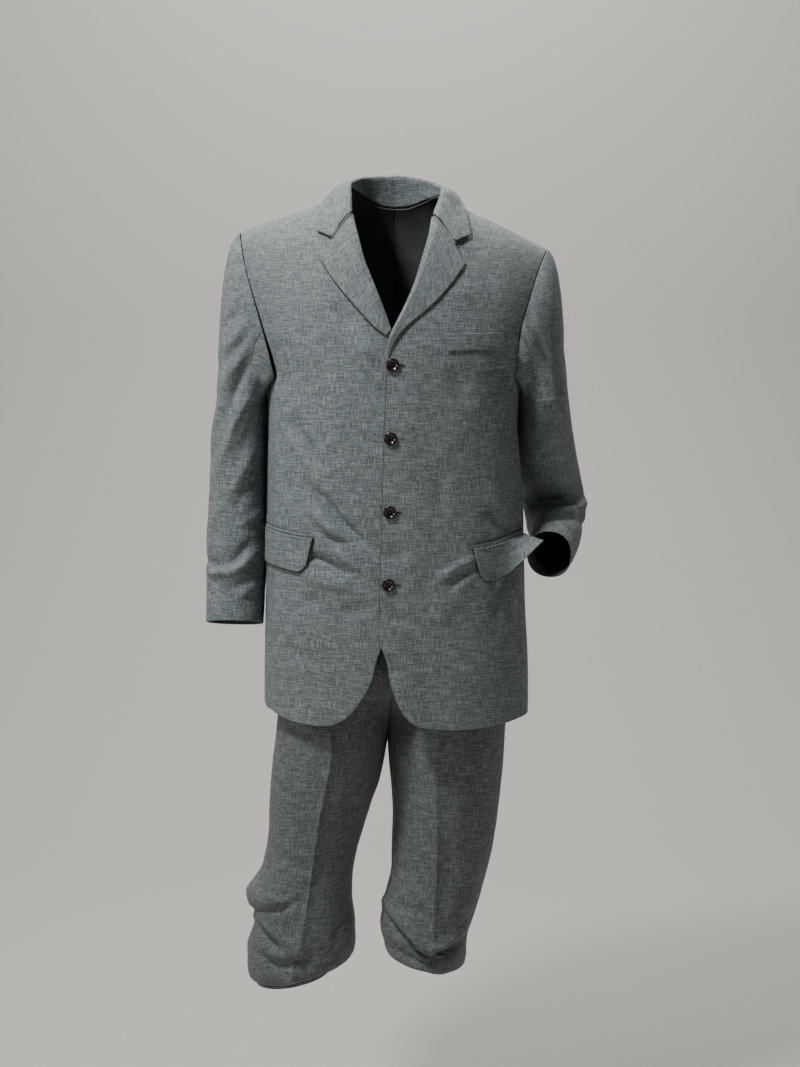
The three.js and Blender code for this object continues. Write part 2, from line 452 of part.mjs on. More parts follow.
// rows across the collar: from the stand's sewn edge over the fold to the free edge
const COLLAR_ROWS = [0, 0.5, 0.85, 1, 1.12, 1.32, 1.53, 1.77, 2];
function collarPoint(p, q) {           // p from -1 (right gorge) to 1 (left gorge)
  const k = p < 0 ? 'R' : 'L', sgn = p < 0 ? -1 : 1, a = Math.abs(p);
  const t = clamp(q - 1, 0, 1);
  let F, B, E, n;
  // forward of the shoulder seam both plies lie on the front itself
  if (a <= 0.6) {
    const c = (col) => look(COLLAR_BACK, 'p', col, a);
    const low = k === 'L' ? -8.5 * smooth(0, 0.6, a) : 0, wide = k === 'L' ? 5 * smooth(0.1, 0.6, a) : 0;
    F = new THREE.Vector3(sgn * (c('fx') + wide), c('fy'), c('fz') + low);
    B = new THREE.Vector3(sgn * (c('bx') + wide), c('by'), c('bz') + low);
    E = new THREE.Vector3(sgn * c('ex'), 0, c('ez') + low);
    E.y = lerp(backY(k, c('ex'), Math.min(E.z, look(SHOULDER, 'x', k, c('ex')) - 3)) + 5.2, c('ey'), smooth(0.42, 0.6, a));
    const q1 = a / 0.6;
    n = new THREE.Vector3(sgn * Math.sin(q1 * 1.15), Math.cos(q1 * 1.5), 0.2 + 0.9 * smooth(0.5, 1, q1)).normalize();
  } else {
    const row = (col) => look(COLLAR_FRONT[k], 'p', col, a), blend = 1 - smooth(0.6, 0.7, a);
    const zf = row('z'), Xf = look(OPENING, 'z', k, zf), Xe = row('x'), ze = row('ez');
    const notch = (t < COLLAR_NOTCH[k].t ? t / COLLAR_NOTCH[k].t : (1 - t) / (1 - COLLAR_NOTCH[k].t)) * smooth(0.84, 1, a);
    const lie = (share, lift, dx = 0, dz = 0) => {
      const X = lerp(Xf, Xe, share) + dx, z = Math.min(lerp(zf, ze, share) + dz, look(SHOULDER, 'x', k, Math.max(X, 66)) - 2.2);
      return onFront(k, sgn, X, z, lift);
    };
    let P;
    if (q < 1) P = lie(q === 0 ? 0.17 : q < 0.7 ? 0.09 : 0.03, row('lift') - 2.1);
    else if (q === 1) P = lie(0, row('lift'), -1.4);
    else P = lie(t, row('lift') + 2 * smooth(0, 0.12, t) - (row('lift') - 2.2) * smooth(0.3, 1, t), 0, COLLAR_NOTCH[k].dz * notch);
    if (blend === 0) return P;
    return P.lerp(collarPoint(0.6 * sgn, q), blend);
  }
  const e1 = E.clone().sub(F).normalize();
  if (q <= 0.5) return B.clone().lerp(F, q);
  if (q < 1) return B.clone().lerp(F, 0.5).lerp(F.clone().addScaledVector(n, -2.1).addScaledVector(e1, 2.4), (q - 0.5) / 0.35);
  if (q === 1) return F;
  const bulge = 2.6 * smooth(0, 0.12, t) + 2.2 * Math.sin(Math.PI * t);
  return F.clone().lerp(E, t).addScaledVector(n, bulge * (1 - smooth(0.75, 1, t)));
}

// closed wall from a ready grid of outer points, normals taken from the grid
function wallOfGrid(rows, t, flip = false) {
  const nu = rows.length, nv = rows[0].length, P = rows.flat(), N = P.map(() => new THREE.Vector3());
  const at = (i, j) => i * nv + j;
  for (let i = 0; i < nu - 1; i++) for (let j = 0; j < nv - 1; j++) {
    const a = P[at(i, j)], b = P[at(i + 1, j)], c = P[at(i + 1, j + 1)], d = P[at(i, j + 1)];
    const n = c.clone().sub(a).cross(d.clone().sub(b));
    for (const q of [at(i, j), at(i + 1, j), at(i + 1, j + 1), at(i, j + 1)]) N[q].add(n);
  }
  const Q = P.map((p, i) => p.clone().addScaledVector(N[i].normalize(), flip ? t : -t));
  return gridSolid(P, Q, nu, nv, false, flip);
}
const gridOf = (f, us, vs) => us.map((u) => vs.map((v) => f(u, v)));
for (const [k, sgn] of SIDES) {
  add(`lapel_${k.toLowerCase()}`, wallOfGrid(gridOf((t, r) => lapelPoint(k, sgn, t, r),
    [0, 0.12, 0.25, 0.38, 0.52, 0.66, 0.79, 0.88, 0.94, 0.99], [0, 0.1, 0.35, GORGE[k].r, 0.82, 1]), WALL, sgn > 0), CLOTH);
}
const around = [-0.992, -0.93, -0.86, -0.78, -0.71, -0.655, -0.6, -0.5, -0.36, -0.18];
add('collar', wallOfGrid(gridOf(collarPoint, [...around, 0, ...around.map((p) => -p).reverse()], COLLAR_ROWS), WALL, true), CLOTH);

// ---------------------------------------------------------------- pockets
function onRing(k, sgn, sDeg, z, lift) {
  const s = sDeg * RAD, e = 1e-3, p = ringPoint(k, sgn, s, z);
  const n = ringPoint(k, sgn, s + e, z).sub(ringPoint(k, sgn, s - e, z))
    .cross(ringPoint(k, sgn, s, z + 0.5).sub(ringPoint(k, sgn, s, z - 0.5))).normalize().multiplyScalar(sgn);
  p.y += frontLapAndFold(k, p.x * sgn, z, s);
  return p.addScaledVector(n, lift);
}
function frontLapAndFold(k, X, z, s) { return s < SIDE_S * RAD ? -foldLift(k, X, z) : 0; }
add('breast_welt', wall((u, v) => {
  const X = lerp(WELT.x0 + 5 * (1 - v), WELT.x1, u);
  return onFront('L', 1, X, lerp(WELT.z0, WELT.z1, v) + WELT.slope * (X - WELT.x0), GAP + WELT_T + 0.2);
}, steps(5), [0, 1], WELT_T, {}), CLOTH);
function flapPoint(k, sgn, g, h) {
  const F = k === 'R' ? FLAP_R : FLAP_L;
  const s = lerp(F.s0, F.s1, g) + (k === 'R' ? 3.5 : 3.5) * h * (1 - g);
  const top = lerp(F.z0, F.z1, smooth(-0.2, 1.1, g));
  const drop = FLAP_DROP * (1 - 0.24 * Math.pow(1 - clamp(g / 0.14, 0, 1), 2));
  const lie = onRing(k, sgn, s, top - drop * h, GAP + WALL + 0.5);
  if (k === 'R') return lie;
  const root = onRing(k, sgn, s, top, GAP + WALL + 0.5), far = smooth(0.2, 1, g);
  const tip = new THREE.Vector3(FLAP_L.tipX, FLAP_L.tipY, FLAP_L.tipZ);
  const end = onRing(k, sgn, F.s1, F.z1, GAP + WALL + 0.5);
  const out = tip.sub(end).multiplyScalar(h * drop / FLAP_DROP);
  return lie.lerp(root.add(out), Math.pow(far, 1.5));
}
for (const [k, sgn] of SIDES) {
  const low = k.toLowerCase(), F = k === 'R' ? FLAP_R : FLAP_L;
  add(`pocket_flap_${low}`, wallOfGrid(gridOf((g, h) => flapPoint(k, sgn, g, h),
    [0, 0.05, 0.14, 0.3, 0.46, 0.62, 0.76, 0.88, 1], [0, 0.3, 0.6, 0.85, 1]), WALL, sgn < 0), CLOTH);
  add(`pocket_jet_${low}`, wallOfGrid(gridOf((g, h) => onRing(k, sgn, lerp(F.s0, F.s1, g),
    lerp(F.z0, F.z1, smooth(-0.2, 1.1, g)) + GAP + 0.2 + (k === 'L' ? 2.6 * smooth(0.25, 0.9, g) : 0) + (1 - h) * JET, GAP + 1.9), steps(6), [0, 1]), 1.5, sgn < 0), CLOTH_DARK);
}

// ---------------------------------------------------------------- buttons
function button(d, t, hole) {
  const ring = (n, r, cx, cy, turn) => Array.from({ length: n }, (_, i) => new THREE.Vector2(
    cx + r * Math.cos(turn * 2 * Math.PI * i / n), cy + r * Math.sin(turn * 2 * Math.PI * i / n)));
  const shape = new THREE.Shape(ring(d > 16 ? 18 : 14, d / 2, 0, 0, 1));
  for (let i = 0; i < 4; i++) {
    const q = (i + 0.5) * Math.PI / 2, r = d * 0.145;
    shape.holes.push(new THREE.Path(ring(5, hole, r * Math.cos(q), r * Math.sin(q), -1)));
  }
  return new THREE.ExtrudeGeometry(shape, { depth: t, bevelEnabled: false });
}
function place(mesh, at, normal) {
  mesh.position.copy(at);
  mesh.quaternion.setFromUnitVectors(new THREE.Vector3(0, 0, 1), normal.normalize());
}
BUTTONS.forEach((b, i) => {
  const p = onFront('L', 1, b.x, b.z, 0), q = onFront('L', 1, b.x, b.z, 1);
  const n = q.clone().sub(p);
  place(add(`front_button_${i + 1}`, button(BUTTON_D, BUTTON_T, 1.3), HORN), p.addScaledVector(n, 0.6), n);
});
for (const [k, sgn] of SIDES) {
  const last = STATIONS[k].length, e = 0.01;
  const f = (deg, v) => sleevePoint(k, sgn, deg, v);
  CUFF_BUTTON_AT.forEach((d, i) => {
    const v = last - d / (k === 'R' ? 65 : 42.5), deg = SLEEVE_BACK_SEAM + 13;
    const n = f(deg + 0.1, v).sub(f(deg - 0.1, v)).cross(f(deg, v + e).sub(f(deg, v - e))).normalize().multiplyScalar(-sgn);
    place(add(`cuff_button_${k.toLowerCase()}${i + 1}`, button(CUFF_BUTTON_D, CUFF_BUTTON_T, 1.0), HORN),
      f(deg, v).addScaledVector(n, 1.5), n);
  });
}

// ---------------------------------------------------------------- breeches
const LEGS = { R: LEG_R, L: LEG_L };
const rimZ = (k, x) => RIM[k].z + RIM[k].slope * (x - RIM[k].x);
// deg round a leg: 0 outer side, 90 front, 180 inner side, 270 back
function legRing(k, sgn, deg, z) {
  const T = LEGS[k], o = look(T, 'z', 'o', z), i = look(T, 'z', 'i', z), b = look(T, 'z', 'b', z);
  const th = deg * RAD, cx = (o + i) / 2, a = Math.abs(o - i) / 2;
  const x = cx + sgn * a * spow(Math.cos(th), 2 / 2.15), y = -b * spow(Math.sin(th), 2 / 2.15);
  const crease = Math.exp(-Math.abs(x - look(T, 'z', 'c', z)) / 9) * 5 * smooth(0, 0.5, Math.abs(Math.sin(th)));
  return new THREE.Vector3(x, y - Math.sign(y) * -crease, z);
}
// knee band: an oval that slopes with the turned-under end of its leg
function bandRing(k, sgn, deg, z, grow = 0) {
  const B = BAND[k], th = deg * RAD, dx = sgn * (B.a + grow) * Math.cos(th);
  return new THREE.Vector3(B.x + dx, B.y - (B.b + grow) * Math.sin(th), z + RIM[k].slope * dx);
}
// c from the middle seam / inseam (0) to the side seam (1); v: 0 at the waist
// seam, 1 at the start of the turn, then one unit for each row of the turn
function legPoint(k, sgn, front, c, v) {
  const deg = front ? 180 * (1 - c) : 180 + 180 * c;
  if (v > 1) {
    const i = Math.min(TURN.length - 2, Math.floor(v - 1)), t = v - 1 - i;
    const h = lerp(TURN[i].h, TURN[i + 1].h, t), q = lerp(TURN[i].k, TURN[i + 1].k, t);
    const R0 = legRing(k, sgn, deg, -1240), R = legRing(k, sgn, deg, clamp(rimZ(k, R0.x) + 26, -1262, -1100));
    const Bq = bandRing(k, sgn, deg, BAND[k].top - 8, 1.2), x = lerp(R.x, Bq.x, q), y = lerp(R.y, Bq.y, q);
    return new THREE.Vector3(x, y, lerp(rimZ(k, R.x), Bq.z, smooth(0.6, 1, q)) + h);
  }
  const R0 = legRing(k, sgn, deg, -1240), low = clamp(rimZ(k, R0.x) + 26, -1262, -1100);
  const z = lerp(WAIST.low - 2, low, v);
  const m = 1 - smooth(FORK_LOW, FORK_TOP, z);
  const leg = legRing(k, sgn, deg, Math.min(z, -760));
  leg.z = z;
  if (m >= 1) return leg;
  const s = (front ? 90 * c : 180 - 90 * c) * RAD, zp = Math.max(z, -790);
  const a = look(PELVIS, 'z', 'a', zp), b = look(PELVIS, 'z', front ? 'bf' : 'bb', zp);
  const pelvis = new THREE.Vector3(sgn * (0.15 + (a - 0.15) * spow(Math.sin(s), 2 / 2.2)), -b * spow(Math.cos(s), 2 / 2.2), z);
  return pelvis.lerp(leg, m);
}
const legRows = [0, 0.14, 0.24, 0.3, 0.36, 0.45, 0.56, 0.66, 0.75, 0.82, 0.87, 0.91, 0.955];
const turnRows = TURN.map((_, i) => 1 + i);
for (const [k, sgn] of SIDES) {
  const low = k.toLowerCase();
  for (const front of [true, false]) {
    const f = (c, v) => legPoint(k, sgn, front, c, v);
    add(`trouser_${front ? 'front' : 'back'}_${low}`, wallOfGrid(gridOf(f,
      [0.002, 0.15, 0.3, 0.43, 0.57, 0.7, 0.85, 0.998], [...legRows, ...turnRows]), LEG_WALL, (sgn < 0) !== front), front ? CLOTH : CLOTH_DARK);
  }
  const B = BAND[k], ring = (grow) => Array.from({ length: 20 }, (_, i) => bandRing(k, sgn, i * 18 * -sgn, 0, grow));
  const tube = (r) => [new THREE.Vector3(r.x, r.y, r.z + B.low), new THREE.Vector3(r.x, r.y, r.z + B.top)];
  add(`knee_band_${low}`, gridSolid(ring(0).flatMap(tube), ring(-BAND_T).flatMap(tube), 20, 2, true, false), CLOTH_DARK);
}
const waistRing = (t, out) => Array.from({ length: 32 }, (_, i) => {
  const s = i * 11.25 * RAD, a = lerp(WAIST.a1, WAIST.a0, t) - out, f = lerp(WAIST.f1, WAIST.f0, t) - out, b = lerp(WAIST.b1, WAIST.b0, t) - out;
  return new THREE.Vector3(a * spow(Math.sin(s), 2 / 2.2), (Math.cos(s) > 0 ? -f : b) * Math.abs(Math.pow(Math.abs(Math.cos(s)), 2 / 2.2)), lerp(WAIST.low, WAIST.top, t));
});
const zip2 = (a, b) => a.flatMap((p, i) => [p, b[i]]);
add('waistband', gridSolid(zip2(waistRing(0, 0), waistRing(1, 0)), zip2(waistRing(0, 2.4), waistRing(1, 2.4)), 32, 2, true, false), CLOTH_DARK);

export default suit;
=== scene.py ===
import math
import bpy
import numpy as np
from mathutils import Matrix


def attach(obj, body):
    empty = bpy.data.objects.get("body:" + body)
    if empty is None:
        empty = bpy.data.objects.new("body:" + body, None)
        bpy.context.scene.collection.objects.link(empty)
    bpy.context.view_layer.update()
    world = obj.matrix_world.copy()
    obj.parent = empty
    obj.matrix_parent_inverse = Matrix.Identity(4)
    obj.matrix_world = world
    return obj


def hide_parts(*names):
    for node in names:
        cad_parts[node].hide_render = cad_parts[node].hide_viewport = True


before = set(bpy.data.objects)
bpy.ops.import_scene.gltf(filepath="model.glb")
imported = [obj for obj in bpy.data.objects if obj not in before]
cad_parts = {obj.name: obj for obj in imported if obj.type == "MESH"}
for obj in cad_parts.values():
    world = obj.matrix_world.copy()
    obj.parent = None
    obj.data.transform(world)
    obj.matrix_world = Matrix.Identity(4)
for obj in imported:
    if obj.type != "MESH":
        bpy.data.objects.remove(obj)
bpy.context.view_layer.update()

# ------------------------------------------------------------------ sizes
WALL, LEG_WALL, GAP = 2.0, 1.5, 0.3
CHEST_Z, SQUARE, ARCH, RIDGE_Y, TOP_HALF = -300.0, 2.4, 2.2, 4.0, 268.0
SIDE_S, BACK_S, UNDERARM_DROP, LAP = 66.0, 112.0, 16.0, 2.7
FLAP_DROP, JET, WELT_T = 53.0, 5.0, 2.2
SLEEVE_FRONT_SEAM, SLEEVE_BACK_SEAM = 118.0, -75.0
CUFF_BUTTON_AT = [27, 44, 61]


def table(cols, *rows):
    return [dict(zip(cols.split(), r)) for r in rows]


BODY = table("z aR aL bf bb", (-840, 208, 211, 146, 152), (-730, 206, 210, 148, 150),
             (-640, 204, 205, 149, 146), (-545, 201.5, 203, 149, 134), (-500, 201, 202, 149, 126),
             (-440, 200, 197, 149, 120), (-370, 199, 192, 150, 124), (-300, 197, 197, 149, 128))
SHOULDER = table("x R L", (0, 8, 8), (40, 4, 1), (70, -6, -13), (96, -20, -29), (120, -31, -42),
                 (150, -42, -55), (195, -57, -76), (240, -74, -99), (262, -84, -112))
ARMHOLE = table("z R L", (-300, 182.7, 182.7), (-262, 191, 185.5), (-220, 202.5, 193), (-180, 214.5, 205),
                (-135, 227.5, 220), (-99, 235, 235.5), (-74, 240, 238))
BACK_ARMHOLE = table("z R L", (-300, 184.9, 184.9), (-250, 193, 190), (-180, 211, 204), (-120, 229, 226),
                     (-99, 235, 235.5), (-74, 240, 238))
OPENING = table("z R L", (-704, 20, -20), (-650, 3, -24), (-600, -7, -23), (-500, -13, -20), (-400, -15, -17),
                (-300, -16, -13), (-275, -11, -11.5), (-244, 4, -4.5), (-222, 12, 6), (-200, 20, 17),
                (-162, 35, 33), (-128, 48, 43), (-89, 58, 54), (-61, 65, 59), (-32, 67, 68), (6, 68, 73))
HEM = {
    "R": [(20, -704), (28, -728), (36, -759), (49, -783), (69, -810), (90, -823), (110, -827), (140, -826),
          (172, -820), (192, -813)],
    "L": [(-20, -704), (-11, -732), (-5, -765), (6, -794), (20, -815), (38, -826), (72, -831), (114, -832),
          (152, -830), (195, -825)],
}
HEM_SIDE, HEM_BACK = {"R": -794, "L": -823}, -812
FRONT_FOLDS = table("side xa za xb zb wide depth", ("R", 120, -400, 22, -590, 16, 3.2),
                    ("R", 100, -560, 42, -600, 13, -2.6), ("L", 118, -585, 66, -650, 15, 3.0),
                    ("L", 158, -610, 150, -700, 14, -2.8))
WELT = dict(x0=74, x1=163, z0=-265, z1=-240, slope=0.055)
BUTTONS = [(-3, -286), (-6, -394), (-7, -503), (-9.5, -611)]
FLAP = {"R": dict(s0=33, s1=77, z0=-543, z1=-530), "L": dict(s0=31, s1=73, z0=-559, z1=-541)}
FLAP_TIP = np.array([226.0, -101.0, -549.0])
SLEEVE_R = table("x y z a f b", (-240, 8, -335, 38.5, 76, 76), (-246, 14, -425, 42.5, 72, 72),
                 (-249, 12, -500, 44, 67, 67), (-250.5, 6, -560, 45.5, 62, 62), (-251.5, -4, -620, 44.5, 57, 57),
                 (-252.5, -16, -684, 42.5, 53, 53))
SLEEVE_L = table("x y z a f b", (233.8, 8, -332, 37.2, 73, 76), (237, 28, -374, 42, 66, 72),
                 (243.5, 60, -422, 47.5, 54, 63))
ELBOW = dict(x=254, y=52, z=-492, r=47, turn=95)
ELBOW_ROWS = table("t dx a f b", (0, -9, 49, 39, 55), (0.33, -6, 50, 37, 55), (0.66, -3, 48, 37, 52),
                   (1, -1, 43, 39, 48))
FOREARM_L = table("x y z a f b", (260, 43, -545, 38, 40, 45), (252, 4, -560, 35.5, 39, 42),
                  (241, -34, -574, 33.5, 38, 39))
PELVIS = table("z a bf bb", (-790, 184, 122, 128), (-700, 184, 124, 129), (-640, 180, 126, 128),
               (-560, 171, 124, 118), (-488, 158, 117, 107))
LEG = {
    "R": table("z o i b c", (-1262, -237, -67, 88, -172), (-1225, -237, -65, 91, -163), (-1200, -234, -64.6, 93, -152),
               (-1160, -228, -67, 92, -144), (-1119, -237, -69, 90, -136), (-1080, -214, -66, 86, -130),
               (-1040, -204.5, -58.5, 86, -125), (-974, -201, -38, 95, -115), (-932, -197, -24, 100, -106),
               (-853, -189, -12, 107, -92), (-760, -186, -11.6, 112, -82)),
    "L": table("z o i b c", (-1262, 108, 8, 76, 57), (-1225, 111, 3, 79, 58), (-1203, 116, -15, 84, 59),
               (-1168, 123, -24, 86, 59), (-1133, 134, -18, 86, 61), (-1085, 147, -6, 86, 63),
               (-1048, 155.6, -5, 88, 64.5), (-974, 166, -5, 96, 64), (-899, 172.5, -9, 103, 62),
               (-853, 174, -11, 107, 60), (-760, 177, -11.1, 112, 58)),
}
RIM = {"R": dict(z=-1240, x=-150, slope=0.17), "L": dict(z=-1228, x=60, slope=-0.13)}
TURN = [(26, 0.0), (12, 0.04), (4, 0.17), (0, 0.42), (2, 0.72), (9, 0.96)]
BAND = {"R": dict(x=-163, y=-8, a=60, b=63, top=-1222, low=-1254),
        "L": dict(x=57, y=-4, a=43, b=64, top=-1200, low=-1226)}
FORK_TOP, FORK_LOW = -730, -890
WAIST = dict(top=-449, low=-486, a0=153, a1=157, f0=113, f1=116, b0=103, b1=106)
LAPEL = {
    "R": table("t x z", (0, 13, -242), (0.2, 31, -228), (0.4, 53, -204), (0.6, 73, -181), (0.8, 92, -156),
               (1, 109.5, -129)),
    "L": table("t x z", (0, -12.5, -271), (0.2, 10, -237), (0.4, 35, -214), (0.6, 59, -193), (0.8, 83, -166),
               (1, 104.6, -135)),
}
ROLL_Z = {"R": (-236, -58), "L": (-247, -62)}
GORGE = {"R": dict(r=0.6, x=92.5, z=-96), "L": dict(r=0.64, x=88.6, z=-104)}
COLLAR_BACK = table("p fx fy fz bx by bz ex ey ez", (0, 0, 60, 23, 0, 68, -25.2, 0, 71.5, -27),
                    (0.15, 22, 57, 22, 25, 63.6, -21.4, 33, 67.5, -27), (0.3, 42, 47, 19, 45, 50.3, -12, 64, 58, -27),
                    (0.45, 57, 29, 14, 60, 30, -6, 88, 37, -23), (0.6, 67, 2, 5, 69, 3, -3.5, 102, 6, -15))
COLLAR_FRONT = {
    "R": table("p z x ez lift", (0.6, 5, 102, -17, 8), (0.7, -16, 107, -32, 6.8), (0.8, -28, 111, -48, 4.9),
               (0.9, -42, 114.5, -66, 4.5), (1, -56, 116.8, -84.5, 4.0)),
    "L": table("p z x ez lift", (0.6, -4, 102, -27, 7), (0.7, -23, 104, -42, 8.4), (0.8, -33, 107, -58, 4.8),
               (0.9, -46, 110, -74, 4.4), (1, -60, 112.6, -90, 4.4)),
}
COLLAR_NOTCH = {"R": dict(t=0.52, dz=-23.5), "L": dict(t=0.55, dz=-25.5)}
COLLAR_ROWS = [0, 0.5, 0.85, 1, 1.12, 1.32, 1.53, 1.77, 2]

# ------------------------------------------------------------------ helpers
RAD = math.pi / 180
SIDES = [("R", -1), ("L", 1)]
COL_A = {"R": "aR", "L": "aL"}


def lerp(a, b, t):
    return a + (b - a) * t


def clamp(x, a, b):
    return min(b, max(a, x))


def smooth(a, b, x):
    t = clamp((x - a) / (b - a), 0, 1)
    return t * t * (3 - 2 * t)


def spow(v, p):
    return math.copysign(abs(v) ** p, v)


def unit(v):
    return v / max(np.linalg.norm(v), 1e-9)


def vec(*a):
    return np.array(a, float)


def look(rows, key, col, x):
    n = len(rows)
    if x <= rows[0][key]:
        return rows[0][col]
    if x >= rows[n - 1][key]:
        return rows[n - 1][col]
    i = 0
    while x > rows[i + 1][key]:
        i += 1

    def slope(k):
        a, b = (0, 1) if k <= 0 else (n - 2, n - 1) if k >= n - 1 else (k - 1, k + 1)
        return (rows[b][col] - rows[a][col]) / (rows[b][key] - rows[a][key])
    h = rows[i + 1][key] - rows[i][key]
    t = (x - rows[i][key]) / h
    t2, t3 = t * t, t * t * t
    return ((2 * t3 - 3 * t2 + 1) * rows[i][col] + (t3 - 2 * t2 + t) * h * slope(i)
            + (3 * t2 - 2 * t3) * rows[i + 1][col] + (t3 - t2) * h * slope(i + 1))


def seam_x(k, z):
    return look(BODY, "z", COL_A[k], z) * math.sin(SIDE_S * RAD) ** (2 / SQUARE)


def fold_lift(k, X, z):
    d = 0
    for f in FRONT_FOLDS:
        if f["side"] != k:
            continue
        ax, az = f["xb"] - f["xa"], f["zb"] - f["za"]
        ln = math.hypot(ax, az)
        t = ((X - f["xa"]) * ax + (z - f["za"]) * az) / (ln * ln)
        across = ((X - f["xa"]) * az - (z - f["za"]) * ax) / ln
        end = smooth(-0.25, 0.2, t) * (1 - smooth(0.8, 1.25, t))
        d += f["depth"] * end * math.exp(-(across * across) / (f["wide"] ** 2))
    return d * smooth(12, 46, X)


def front_y(k, X, z):
    if z <= CHEST_Z:
        q = min(abs(X) / look(BODY, "z", COL_A[k], z), 0.9999)
        y = -look(BODY, "z", "bf", z) * (1 - q ** SQUARE) ** (1 / SQUARE)
    else:
        xi, xo = look(OPENING, "z", k, z), look(ARMHOLE, "z", k, z)
        top = look(SHOULDER, "x", k, lerp(68, 240, (X - xi) / (xo - xi)))
        w = clamp((z - CHEST_Z) / (top - CHEST_Z), 0, 1)
        q = min(abs(X) / lerp(197, TOP_HALF, w), 0.9999)
        deep = 149 * (1 - q ** SQUARE) ** (1 / SQUARE)
        y = RIDGE_Y * w * w - deep * max(0, 1 - w ** ARCH) ** (1 / ARCH)
    if k == "L":
        y -= LAP * (1 - smooth(16, 56, X)) * (1 - smooth(-238, -205, z))
    return y - fold_lift(k, X, z)


def along(lst, u):
    d = [0]
    for i in range(1, len(lst)):
        d.append(d[-1] + math.hypot(lst[i][0] - lst[i - 1][0], lst[i][1] - lst[i - 1][1]))
    rows = [dict(d=d[i] / d[-1], x=p[0], z=p[1]) for i, p in enumerate(lst)]
    return look(rows, "d", "x", u), look(rows, "d", "z", u)


def arch_w(v, full=math.pi / 2):
    return math.sin(max(0, min(v - 1, 1)) * full) ** (2 / ARCH)


def front_point(k, sgn, u, v):
    uc = clamp(u, 0, 1)
    if v <= 1:
        hx, hz = along(HEM[k], uc)
        xi0, xo0 = look(OPENING, "z", k, CHEST_Z), seam_x(k, CHEST_Z)
        z = lerp(hz, CHEST_Z, v)
        vi = clamp((z + 704) / (CHEST_Z + 704), 0, 1)
        X = lerp(hx, lerp(xi0, xo0, uc), v)
        X += (look(OPENING, "z", k, z) - lerp(HEM[k][0][0], xi0, vi)) * (1 - uc) ** 4 * smooth(-720, -690, z)
        X += (seam_x(k, z) - lerp(HEM[k][-1][0], xo0, v)) * uc ** 3
    else:
        top = look(SHOULDER, "x", k, lerp(68, 240, uc))
        z = lerp(CHEST_Z, top, arch_w(v))
        X = lerp(look(OPENING, "z", k, z), look(ARMHOLE, "z", k, z), uc)
    return vec(sgn * X, front_y(k, X, z), z)


def ring_point(k, sgn, s, z):
    a = look(BODY, "z", COL_A[k], z)
    b = look(BODY, "z", "bf" if math.cos(s) > 0 else "bb", z)
    return vec(sgn * a * spow(math.sin(s), 2 / SQUARE), -b * spow(math.cos(s), 2 / SQUARE), z)


def side_top(s):
    return CHEST_Z - UNDERARM_DROP * math.sin(math.pi * (s - SIDE_S) / (BACK_S - SIDE_S))


def side_point(k, sgn, s, v):
    t = (s - SIDE_S) / (BACK_S - SIDE_S)
    low = lerp(HEM[k][-1][1], HEM_SIDE[k], smooth(0, 1, t))
    return ring_point(k, sgn, s * RAD, lerp(low, side_top(s), v))


def back_point(k, sgn, u, v):
    s = lerp(180, BACK_S, u)
    if v <= 1:
        low = lerp(HEM_BACK, HEM_SIDE[k], smooth(0.1, 1, u))
        return ring_point(k, sgn, s * RAD, lerp(low, CHEST_Z, v))
    ring = abs(ring_point(k, 1, s * RAD, CHEST_Z)[0]) / 184.9
    xt = lerp(0, 240, ring)
    top = look(SHOULDER, "x", k, xt)
    neck = 66 * math.sqrt(max(0, 1 - (xt / 70) ** 2))
    w_top = (1 - (neck / 128) ** ARCH) ** (1 / ARCH)
    w = arch_w(v, math.asin(min(1, w_top ** (ARCH / 2))))
    z = lerp(CHEST_Z, top, w)
    X = ring * look(BACK_ARMHOLE, "z", k, z)
    q = min(abs(X) / lerp(197, TOP_HALF, w), 0.9999)
    y = RIDGE_Y * w * w + 128 * (1 - q ** SQUARE) ** (1 / SQUARE) * max(0, 1 - w ** ARCH) ** (1 / ARCH)
    return vec(sgn * X, y, z)


def back_y(k, X, z):
    share = min(1, abs(X) / look(BACK_ARMHOLE, "z", k, z))
    w = clamp((z - CHEST_Z) / (look(SHOULDER, "x", k, 240 * share) - CHEST_Z), 0, 1)
    q = min(abs(X) / lerp(197, TOP_HALF, w), 0.9999)
    return RIDGE_Y * w * w + 128 * (1 - q ** SQUARE) ** (1 / SQUARE) * max(0, 1 - w ** ARCH) ** (1 / ARCH)


# sleeves
UPPER_DIR = unit(vec(0.17, 0.454, -0.875))
FORE_DIR = unit(vec(-0.22, -0.9, -0.37))


def armhole(k, sgn, deg):
    d, turn = deg % 360, 142
    if d <= turn:
        return front_point(k, sgn, 1, 2 - d / turn)
    if d >= 360 - turn:
        return back_point(k, sgn, 1, 2 - (360 - d) / turn)
    return side_point(k, sgn, lerp(SIDE_S, BACK_S, (d - turn) / (360 - 2 * turn)), 1)


